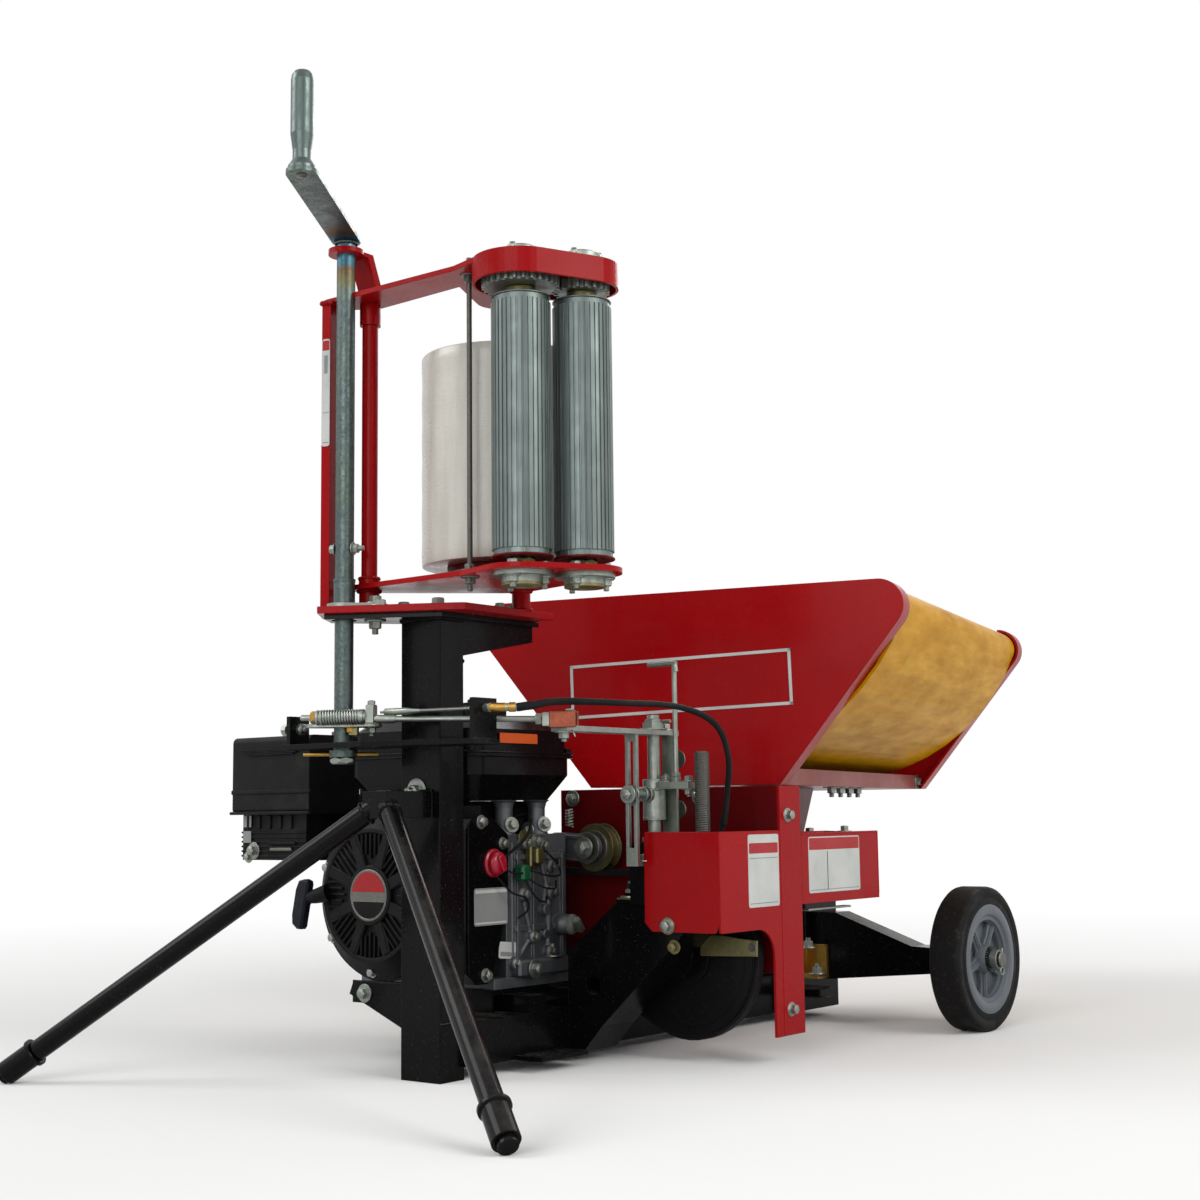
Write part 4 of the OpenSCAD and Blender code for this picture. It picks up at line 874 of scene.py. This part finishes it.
p = Piece("post_welds", "black", slot="black_paint")
p.weld([(30.4, -20.4, 4), (30.4, -20.4, 519)], 1.3, wave=0.1, pitch=5)
p.weld([(-31, -21, 521.4), (31, -21, 521.4), (31, 21, 521.4)], 2.4)
p.weld([(-19, -21, 294), (-19, -21, 324), (19, -21, 324), (19, -21, 294)], 2.2)
p.weld([(31, 21, 64.6), (31, -21, 64.6)], 2)
p.weld([(41, 20, 65), (-41, 20, 65)], 2.4)
p.weld([(-61, 680, 65), (61, 680, 65)], 2.6)
p.weld([(-30, -9, 104.6), (-118, -9, 104.6)], 1.6)
for sx in (-1, 1):
    p.weld([(sx * 61, 710, 70), (sx * 61, 710, 180)], 2.2)
    p.weld([(sx * 283, 711, 80), (sx * 283, 711, 122)], 2)
    q = Vector((sx * 6, -80, 310))
    p.lathe(along(q + Z * 9, Vector((sx * 0.1, -0.15, 1))), [(9, 0), (8, 3), (4, 5.5), (0.6, 6)], 14)
p.weld([(-30, 20.5, 474), (30, 20.5, 474)], 2.4)
p.done()

# The legs' upper and lower ends
LEGS = {
    "right": (Vector((6, -80, 310)), Vector((366, -292, 8.3))),
    "left": (Vector((-6, -80, 310)), Vector((-394, -292, 8.3))),
}
FOOT_OUT = 50  # how far a foot stands out of its leg
for side_name in ("left", "right"):
    a, b = LEGS[side_name]
    d = (b - a).normalized()
    p = Piece("foot_sleeve_" + side_name, "black", body="foot_" + side_name, slot="black_paint")
    sleeve = [(10.2, 0), (15.6, 0), (16.4, 0.8), (16.4, 4.4), (15.6, 5.4), (14, 6), (14, 43.2), (13.2, 44),
        (10.2, 44)]
    p.lathe(along(b - d * FOOT_OUT, d), sleeve, 40, closed=True)
    p.done()

p = Piece("leg_tubes", "black", slot="black_paint")
for a, b in LEGS.values():
    d = (b - a).normalized()
    p.ring(along(a, d), 10.4, 12, (b - a).length - FOOT_OUT - 0.5, 40)
    p.weld(hoop(along(a + d * 18, d, Z), 12.4, 18), 1.8)
p.done("stand_legs")

p = Piece("frame_fittings", "zinc", "black")
for x in (-216, -30):
    for y in (128, 214):
        p.bolt((x, y, 90.2), Z, 13, washer=1.6, head=7)
p.bolt((198, 196.8, 142), -Y, 10, wide=0.85, mat="olive")
p.box((112.5, 199.5, 194.2), (139.5, 228.5, 196.4), 0.4, mat="olive")
p.bolt((124, 213, 196.6), Z, 13, washer=1.8, stub=10)
p.prism(along((0, 263, 0), -Y, X),
    [(190, 127), (269.7, 129.1), (270.2, 147.1), (223.3, 151.3), (206, 152), (190, 141)], 3, mat="olive")
p.lathe(along((263.6, 259.8, 139.5), -Y), [(5.5, 0), (5.2, 0.5), (3, 0.3)], 18, "dark_steel")
p.bolt((-98, -10.3, 92), -Y)
for at, stub in (((82, 684, 104.6), 5), ((92, 690, 68.4), 6)):
    p.bolt(at, Z, 13, washer=1.6, stub=stub)
p.box((58, 676, 36), (104, 712, 50), 2, mat="black")
p.done()

# Engine
p = Piece("recoil_cover", "plastic", slot="black_plastic")
face = along(CRANK + Y * 32, -Y, X)
p.lathe(face, [(96, -22), (101, -21), (101, -17), (97, -15), (84, -3), (80, 0), (76, 0), (74.5, -1.2),
    (73, -4.5), (20, -4.5)], 72)
for k in range(8):
    turn = face @ spin(radians(45 * k))
    short = k % 2 == 0
    half = 3 if short else 2
    for i in range(-half, half + 1):
        t = i * 7.4
        r1 = sqrt(75 ** 2 - t * t) - 1
        r0 = (44 if short else 36) + abs(t) * (0.55 if short else 0.3)
        p.box((r0, t - 1.3, -5), (r1, t + 1.3, -0.4), 0.7, turn)
    edge = turn @ spin(radians(22.5))
    p.prism(edge, [(28, -8), (74, -3.4), (74.6, 0), (74, 3.4), (28, 8)], 0.7, 0.4)
    p.box((30, -7.5, -5), (75, 7.5, 0.2), 1.2, edge)
p.lathe(face, [(36, -5), (36, 0.6), (34.5, 1.8), (31.2, 1.8), (30.6, 1), (0.5, 1)], 56)
for a in (20, 95, 160, 215, 265, 330):
    q = face @ polar(93, a, -16.5)
    p.lathe(along(q, -Y), [(6.5, -6), (6.5, 2), (5.5, 2.6)], 16)
    p.bolt(q - Y * 2.4, -Y, 9, washer=0.8, wide=0.75)
neck = [CRANK + Vector(v) for v in ((-70, 30, 2), (-84, 25, -2), (-96, 23, -4))]
p.tube(smooth_path(neck, 5), lambda s: 11 - 3.6 * s, 16)
p.done("recoil_starter")

p = Piece("recoil_badge", "steel", slot=None)
m = face @ lift(1.4)
p.lathe(m, [(31, -0.6), (31, 0.6), (30.2, 1), (28.6, 1), (28, 0.5), (0.5, 0.5)], 56)
for a0, a1, mat in ((8, 172, "red_sticker"), (196, 344, "plastic")):
    half = [polar(27.8, a0 + (a1 - a0) * k / 16).to_2d() for k in range(17)]
    p.prism(m @ lift(0.4), half, 0.5, 0.1, mat)
p.done()

p = Piece("starter_grip", "navy", slot="black_plastic")
middle = Vector((-239, 22, 190))
stem = CRANK + Vector((-97, 23, -4))
p.tube(smooth_path([stem, (stem + middle) / 2, middle + X * 4], 5), lambda s: 5.2 + 2 * s, 14)
m = along(middle, -Y, Z) @ spin(radians(-12))
shape = [(-30, -7), (-26, -9), (26, -9), (30, -7), (31, 0), (27, 9), (16, 12), (-16, 12), (-27, 9), (-31, 0)]
p.prism(m @ lift(-6), shape, 13, 2.4)
p.done()

p = Piece("blower_details", "black", "zinc", slot="black_paint")
m = along(CRANK + Y * 54, -Y, X)
p.ring(m @ lift(-2.4), 96, 103.6, 2.6, 72)
p.ring(m @ lift(-48), 99, 103.8, 3, 72)
for a in (35, 140, 215, 320):
    q = m @ polar(99.5, a)
    p.bolt(q + Y * 0.4, -Y, 8, washer=0.8, wide=0.8, head=4)
for y, z, across in ((89, 288, 10), (96, 108, 10), (128, 262, 9)):
    p.bolt((-4.8, y, z), X, across, washer=1.2, wide=0.85)
p.tube(smooth_path([(-4.8, 66, 112), (-2.4, 63, 160), (-2.4, 63, 240), (-4.8, 66, 286)]), 1.3, 8)
p.done()
side = along((0, 0, 0), X, Y)
# The maker plate's grey ground is painted shade on a pale plate
sticker("maker_plate_in_painted_shade", side @ shift(76, 166, -4.9), 60, 44, "grey_sticker",
    ((2, 38, 58, 42, "white"), (2, 2, 58, 4, "white")))
sticker("small_plate_blank", side @ shift(122, 126, -7.6) @ spin(radians(-6)), 40, 20, "white",
    ((3, 3, 37, 8, "grey_sticker"),))

p = Piece("switch_wiring", "red_plastic", "rubber", "green_plastic", "olive", "zinc", slot="switch_red")
switch = Vector((-5, 110, 239))
p.lathe(along(switch, X), [(17, 0), (17, 3), (14.5, 4.5), (14.5, 8), (13.2, 11), (9.5, 13.4), (4, 14.4),
    (0.5, 14.6)], 28)
p.box((-4, -10.5, 13.2), (4, 10.5, 17.5), 1.8, along(switch, X, Y) @ spin(0.5))
p.box((-4, 146, 216), (12, 162, 236), 3, mat="green_plastic")
p.box((-6, 170, 232), (4, 192, 262), 1.6, mat="olive")
p.box((4, 174, 236), (11, 188, 256), 2, mat="olive")
p.bolt((4, 180, 264), X, 9, washer=1.2, stub=2)
p.bolt((-6, 168, 268), X, 10, washer=1.2, mat="olive")
wires = (
    [(6, 118, 232), (12, 132, 226), (11, 146, 226)],
    [(4, 122, 246), (14, 140, 262), (10, 160, 276), (0, 176, 290)],
    [(8, 158, 220), (18, 178, 208), (14, 204, 206), (4, 218, 214)],
    [(8, 160, 230), (17, 186, 222), (14, 214, 222), (2, 226, 232)],
    [(4, 108, 222), (9, 128, 204), (13, 150, 196), (9, 158, 182), (0, 150, 172)],
    [(8, 154, 218), (16, 166, 196), (10, 190, 190), (0, 204, 196)],
    [(4, 184, 258), (13, 196, 246), (10, 214, 236), (2, 222, 240)],
)
for k, w in enumerate(wires):
    p.tube(smooth_path(w, 7), 1.9 if k == 1 else 1.3, 8, "rubber")
p.done("ignition_switch")

p = Piece("crankcase_details", "cast", "zinc", "pale_plastic", slot="cast_alloy")
# Bosses of the crankcase cover: y, z, radius and height
bosses = (
    (196, 258, 10, 12), (168, 262, 8, 9), (216, 200, 9, 10), (206, 180, 7, 9), (216, 232, 8, 9),
    (166, 200, 9, 6), (182, 148, 8, 8), (214, 128, 9, 9), (150, 118, 8, 7), (208, 150, 6, 6),
)
for y, z, r, h in bosses:
    p.lathe(along((-8.5, y, z), X), [(r + 1.6, 0), (r, 2.5), (r, h - 1.2), (r - 1.2, h)], 20)
    if r > 7:
        p.bolt((-8.7 + h, y, z), X, 9, washer=0.8, wide=0.75, mat="zinc" if y < 200 else "steel")
for i, k, r in ((0, 2, 4), (2, 7, 4.5), (1, 0, 4), (5, 6, 3.5), (6, 8, 3.5), (3, 4, 3.5)):
    (y0, z0), (y1, z1) = bosses[i][:2], bosses[k][:2]
    p.tube([(-7.4, y0, z0), (-7, (y0 + y1) / 2, (z0 + z1) / 2), (-7.4, y1, z1)], r)
p.weld([(-8, 148, 126), (-8, 148, 262)], 2.2, wave=0)
p.box((-10, 146, 102), (6, 246, 122), 2.5)
p.lathe(along((6, 172, 111), X), [(9, 0), (9, 1), (7.5, 2)], 20)
p.bolt((7.5, 172, 111), X, 12)
p.bolt((-1, 216, 122.2), Z, stub=8)
fill = along((6, 237, 160), polar(1, 20))
p.lathe(fill, [(13, -8), (13, 0), (11.5, 2.5)])
p.lathe(fill, [(11.6, 2.4), (12.6, 4), (12.6, 9), (11, 11), (6, 12)], mat="pale_plastic")
p.box((-14.5, -4.2, 9), (14.5, 4.2, 20), 2.6, fill @ spin(radians(-35)), "pale_plastic")
for x, y in ((-24, 152), (-24, 214)):
    p.lathe(shift(x, y, 272), [(15, 0), (13.5, 4), (10.5, 12), (10.5, 30), (13, 39), (17, 42)], 28)
    p.bolt((x, y - 17, 276), -Y, washer=1.2)
    p.bolt((x + 13, y, 284), Vector((1, -0.3, 0.2)), 10, washer=1.2)
p.helix(shift(4, 246, 280), 4.5, 0, 22, 6, 0.9, 6, 12, "zinc")
for y in (102, 122, 142, 162, 182, 202):
    p.box((-216, y, 118), (-213, y + 5, 262), 0.9)
p.done()

# The cylinder shroud behind the tank; its black is partly painted shade
p = Piece("cylinder_shroud", "satin", slot="black_paint")
p.box((-138, 118, 268), (-36, 244, 313), 5)
p.box((-36.4, 150, 276), (-33.6, 232, 306), 1)
p.tube(smooth_path([(-34, 160, 276), (-30, 176, 292), (-31, 206, 296), (-34, 226, 286)], 8), 1.6, 8)
p.done()

p = Piece("cylinder_fins", "cast", slot="cast_alloy")
cyl = shift(-134, 177, 202) @ Matrix.Rotation(radians(-65), 4, "Y")
for t in range(100, 186, 12):
    p.box((-47, -47, t + 4.4), (47, 47, t + 6.6), 0.7, cyl)
p.box((-30, -46, 196), (30, 46, 212), 2, cyl)
for x, y in ((-28, -30), (28, -30), (28, 30), (-28, 30)):
    p.bolt(cyl @ Vector((x, y, 216)), cyl.to_3x3() @ Z, 12)
p.lathe(cyl @ shift(8, -18, 210), [(8, 0), (8, 12), (5, 15), (5, 30), (7, 33), (7, 42), (4, 46)], 20,
    "rubber")
p.done()

p = Piece("tank_details", "black", slot="black_paint")
cap = shift(-60, 150, 434)
p.lathe(cap, [(30.5, -20), (31.5, -18), (31.5, -6), (29, -2), (20, 1.2), (0.5, 2)], 48, "plastic")
for k in range(24):
    a = 2 * pi * k / 24
    p.box((30.6, -1.6, -18), (32.6, 1.6, -5), 0.5, cap @ spin(a), "plastic")
p.box((-16, -3, 0), (16, 3, 6), 1.6, cap @ spin(0.5), "plastic")
outline = []
for cx, cy, a in ((-8, 72, -90), (-8, 228, 0), (-178, 228, 90), (-178, 72, 180)):
    outline += [Vector((cx, cy, 0)) + polar(24.6, a + k * 15) for k in range(7)]
for z in (366.4, 370.6):
    pts = [q + Z * z for q in outline]
    p.tube([*pts, pts[0]], 1.1, 7)
for x, y in ((-196, 54), (10, 54), (10, 246), (-196, 246)):
    p.bolt((x * 0.965 - 4, 150 + (y - 150) * 0.94, 371.6), Z, 9, washer=0.8, mat="black")
p.done()
sticker("tank_sticker_blank", side @ shift(104, 382, 12.2), 70, 12, "orange", (), 1.5)

p = Piece("air_cleaner_details", "plastic", "zinc", slot="black_plastic")
for z in (246, 252, 258, 264, 270, 276):
    p.box((-386.5, 48, z), (-263.5, 52.4, z + 2.6), 0.7)
for x in (-376, -356, -336, -316, -296):
    p.box((x, 47.4, 282), (x + 6, 51, 299), 0.8)
p.box((-397, 38.4, 326), (-248, 42.6, 332), 1.2)
p.box((-397.5, 36.5, 300), (-247.5, 42, 304), 1)
p.box((-332, 46, 262), (-282, 51.4, 266), 0.8)
p.box((-330, 46.6, 254), (-290, 51, 258), mat="steel")
p.bolt((-362, 49, 254), -Y, washer=1.6)
p.bolt((-372, 49, 246), -Y, 8, washer=1)
for k in range(4):
    p.box((-380 + 5 * k, 36.4, 382 - 2 * k), (-262 - 5 * k, 39.8, 383.6 - 2 * k), 0.4)
knob = shift(-322, 105, 332)
p.lathe(knob, [(17, 0), (19, 2), (19, 12), (15, 15), (6, 17), (0.5, 17.4)], 32)
p.lathe(shift(-322, 78, 400), [(11, -1), (11, 8), (8, 10.5), (0.5, 11)])
p.done()
for name, z in (("air_plate_a", 284), ("air_plate_b", 264)):
    sticker(name, along((-382, 48.2, z), -Y, X), 15, 15, "grey_sticker", (), 1)


def louvre(w):
    """The outline of a louvre that reaches w to each side."""
    return [(-0.8 * w, -2.4), (0.8 * w, -2.4), (w, 0), (0.8 * w, 2.4), (-0.8 * w, 2.4), (-w, 0)]


p = Piece("muffler_shield", "burnt", slot="burnt_steel")
for i in range(5):
    for k in range(3):
        z = 344 + 18 * k
        p.prism(along((-358 + 22 * i, 249.4, z), Y, -X), louvre(10), 1.8, mat="dark_steel")
        p.prism(along((-373.4, 184 + 12 * i, z), -X, -Y), louvre(5), 1.6, 0.4, "dark_steel")
p.lathe(along((-306, 246, 360), Vector((0, 1, -0.3))), [(12, -4), (12, 12), (11, 13), (9.4, 13), (9.4, 4)])
for x in (-360, -250):
    p.bolt((x, 190, 404.2), Z, 10, washer=1.2, mat="burnt")
p.done()

# Belt drive
p = Piece("idler_fittings", "zinc", "cast", body="idler")
p.bolt((20, 255.4, 253.7), -Y, 16, washer=2.2, wide=0.85)
p.ring(along((20, 262, 253.7), -Y), 9, 19.5, 2.2, 32, "steel")
p.ring(along((20, 277.4, 253.7), -Y), 8, 22, 4.6, 32, "steel")
p.bolt((-32, 261.6, 256), -Y, 14, washer=2)
for z in (268.5, 243.5):
    p.weld([(-26, 262, z), (14, 262, z - 2)], 3.2, "cast", wave=0)
p.done()

p = Piece("pulley_details", "satin", slot="steel")
for k in range(5):
    a = 2 * pi * k / 5 + 0.3
    q = Vector((160 + 62 * cos(a), 287.6, 125 + 62 * sin(a)))
    p.lathe(along(q + Y * -0.2, -Y), [(16, 0), (15, 0.6), (14, -0.2), (1, -0.3)], mat="dark_steel")
for r0, r1, h, n in ((20, 34, 4, 40), (84, 94, 1.6, 72)):
    p.ring(along((160, 275.2, 125), -Y), r0, r1, h, n)
p.bolt((160, 261.2, 125), -Y, 17, washer=2.4, mat="steel")
p.done()

# Counter
p = Piece("counter_fittings", "zinc")
p.bolt((165, 207, 403.2), Z, 19, washer=0, stub=5, head=4)
p.ring(shift(165, 207, 394.2), 7.7, 16, 2.4, 32)
p.bolt((165, 232, 394.2), Z)
p.bolt((165, 38, 388), -Z, stub=4)
p.cyl((165, 38, 394), (165, 38, 399), 4, 14)
for z in (300, 360):
    p.bolt((176, 240.2, z), Y)
p.ring(shift(165, 207, 262.6), 7.7, 15, 5)
p.weld([(157.5, 166.4, 388.4), (172.5, 166.4, 388.4)], 1.5)
p.bolt((165, 184, 240.2), Z)
p.cyl((190, 207.6, 404), (178, 207.6, 404), 2.2, 10)
p.done()

p = Piece("follower_fittings", "zinc", body="follower")
for y, r, h in ((164.6, 10.5, 2.6), (195.5, 9.5, 6), (186, 8.2, 3)):
    p.ring(along((165, y, 318), -Y), 3.4, r, h)
p.bolt((165, 155.4, 318), -Y, washer=1.2, stub=3, head=4)
p.bolt((182, 207, 332.2), Z, 10, washer=1.2, stub=3)
p.bolt((215, 207, 332.2), Z, 9, washer=1.2)
p.bolt((215, 207, 323.8), -Z, 9, washer=1.2, stub=3)
p.bolt((197, 207, 338.4), Z, 10, washer=0, head=5)
p.weld([(170, 197, 324), (178, 197, 324)], 1.6)
for z in (290, 334):
    p.ring(shift(165, 207, z), 7.9, 13.8, 1.6, 36)
p.tube(smooth_path([(199, 207, 462), (197.6, 207, 470), (192, 207, 472.2), (186, 207, 472.2)], 5), 3.25, 12)
p.done()

p = Piece("screw_thread", "dark_steel", body="screw", slot="burnt_steel")
p.thread(shift(234, 207, 262.3), 9, 104.7, 2.6, 0.9, 24, 1.2)
p.done("counter_screw")

# Guards
p = Piece("guard_bolts", "zinc", "olive")
p.lathe(along((203, 177.8, 167), -Y), [(9.6, 0), (10, 0.4), (9.7, 1.6), (5, 1.8)], 28, "olive")
p.bolt((203, 176.2, 167), -Y, washer=1.2, wide=0.75)
for y, z in ((325, 292), (324, 64)):
    p.lathe(along((275.1, y, z), X), [(8.3, 0), (8.6, 0.4), (8.3, 1.5), (5, 1.7)], 28)
    p.bolt((276.6, y, z), X, 10, washer=0.8, wide=0.7)
for x in (-40, 60, 160):
    p.bolt((x, 307.8, 316), -Y)
for x, y in ((190, 375), (40, 375), (-16, 400), (-16, 460)):
    p.bolt((x, y, 189.2), Z)
for y in (380, 530):
    p.bolt((235, y, 269.2), Z, 10, washer=1.2)
p.box((262, 372, 176), (274, 474, 178.4))
p.done()

p = Piece("guard_folds", "red", slot="red_paint")
plate = [(-46.5, 0), (0.4, 0), (0.4, 286), (-4, 292.4), (-46.5, 292.4)]
p.prism(along((272.4, 354.6, 34.5), X, Y), plate, 3.2, 0.9)
for r, *path in (
    (1.5, (274.1, 179.6, 161), (274.1, 179.6, 272.2)),
    (1.2, (274.3, 309.2, 36), (274.3, 309.2, 326)),
    (1.4, (170.6, 179.4, 171), (170.6, 179.4, 272.4)),
    (1.3, (171, 179.4, 273), (274, 179.4, 273), (274, 306, 273)),
    (1.4, (196.2, 355.8, 269), (274.2, 355.8, 269), (274.2, 544.4, 269), (196.2, 544.4, 269),
        (196.2, 355.8, 269)),
    (1.4, (274.2, 355.8, 190), (274.2, 355.8, 268)),
    (1.4, (274.2, 544.2, 190), (274.2, 544.2, 268)),
):
    p.tube(path, r, 8)
p.done()
sticker("guard_label", side @ shift(238, 186, 274.9), 66, 84, "white",
    ((2, 62, 64, 74, "red_sticker"), (3, 4, 63, 5, "grey_sticker"), (3, 56, 63, 57, "grey_sticker")))
sticker("box_label", side @ shift(372, 197, 274.9), 124, 68, "white",
    ((1.5, 52, 122.5, 66.5, "red_sticker"), (44, 3, 45, 50, "grey_sticker"), (3, 3, 121, 4, "grey_sticker")))

# Turntable
p = Piece("table_outline", "white", body="table", slot=None)
front = TABLE @ along((-4.7, -374.2, 461.4), -Y, X) @ spin(radians(1.65))
left, right, low, high, stroke = -154.5, 154.5, -35.8, 35.8, 4
for x0, y0, x1, y1 in (
    (left, low, right, low + stroke), (left, high - stroke, right, high),
    (left, low, left + stroke, high), (right - stroke, low, right, high),
):
    p.box((x0, y0, 0), (x1, y1, 0.4), 0.12, front)
p.done()

p = Piece("table_bolts", "zinc", body="table")
for sx in (-1, 1):
    for k in (-3, -1, 1, 3):
        p.bolt(TABLE @ Vector((sx * 104, k * 22, 330)), -Z, 12, washer=1.6, stub=6)
    for sy in (-1, 1):
        p.bolt(TABLE @ Vector((sx * 121.2, sy * 352, 342)), TABLE.to_3x3() @ X * sx)
p.done()

# The hub brackets wear the shaded copy of the red paint, a painted shade
p = Piece("hub_brackets", "red_in_painted_shade", body="table", slot="dark_red_paint")
# The gussets wear the pale red that is partly painted glare
for k in range(4):
    m = TABLE @ spin(pi / 2 * k)
    gusset = [(34, 0), (48, 0), (96, 67.4), (44, 67.4)]
    p.prism(m @ along((0, 0, 262.3), Y, X) @ lift(-3), gusset, 6, 1, "red_dust_and_painted_glare")
    p.weld([m @ Vector((-28, 30.4, 263)), m @ Vector((28, 30.4, 263))], 2.2)
    p.bolt(m @ Vector((42, 22, 262.4)), Z, 12, washer=1.6)
p.done()

# Wheels
AXLE = 316, 731, 96
# Outlines of the tyre and the rim, as (radius, distance outwards), and of a spoke
half = [(96, 4), (96, 15.5), (95.2, 19), (93, 21.2), (90.5, 21.9), (84, 21.9), (83, 21.3), (79, 21.3),
    (78, 21.9), (70, 21.8), (66, 20.5), (62, 17.5)]
TYRE = [(r, -w) for r, w in reversed(half)] + half
RIM = [(50, 10), (51, 14), (54, 18.2), (57, 18.6), (58.5, 21.6), (60, 22.6), (71, 22.6), (72.4, 21.8),
    (72.4, 20), (62, 12), (60, 10)]
SPOKE = [(14, -9), (30, -6.5), (51, -11), (52.5, 0), (51, 11), (30, 6.5), (14, 9)]
for side_name, sx in (("left", -1), ("right", 1)):
    body = "wheel_" + side_name
    hub = along((sx * AXLE[0], *AXLE[1:]), X * sx, Z * -sx)
    p = Piece("tyre_worn_" + side_name, "tyre", body=body, slot="tyre_rubber")
    p.lathe(hub, TYRE, 96, closed=True)
    p.done("tyre_" + side_name)
    p = Piece("hub_details_" + side_name, "hub", body=body, slot="roller_alloy")
    for k in range(5):
        m = hub @ spin(radians(72 * k))
        p.prism(m @ lift(2), SPOKE, 9, 1.2)
        p.box((16, -1.6, 9), (50, 1.6, 14.5), m=m)
    p.lathe(hub, RIM, 72, closed=True)
    p.lathe(hub, [(20, 8), (19, 16), (16.8, 21.8), (10.6, 22), (10.3, 20)], 36)
    p.done()
    p = Piece("axle_fittings_" + side_name, "zinc")
    p.ring(hub @ lift(22.4), 10.1, 17, 2.6, 32)
    p.ring(hub @ lift(25.2), 9.9, 12.6, 10.2, 32)
    p.lathe(hub @ lift(35.5), [(10, -1), (10, 3), (8.6, 4.4), (3, 4.5)], mat="steel")
    p.tube(hoop(hub @ shift(15, 0, 38), 5, 14), 1.1, 7)
    p.cyl(hub @ Vector((10, 0, 38)), hub @ Vector((-15, 2, 38)), 1.6, 9)
    p.done()
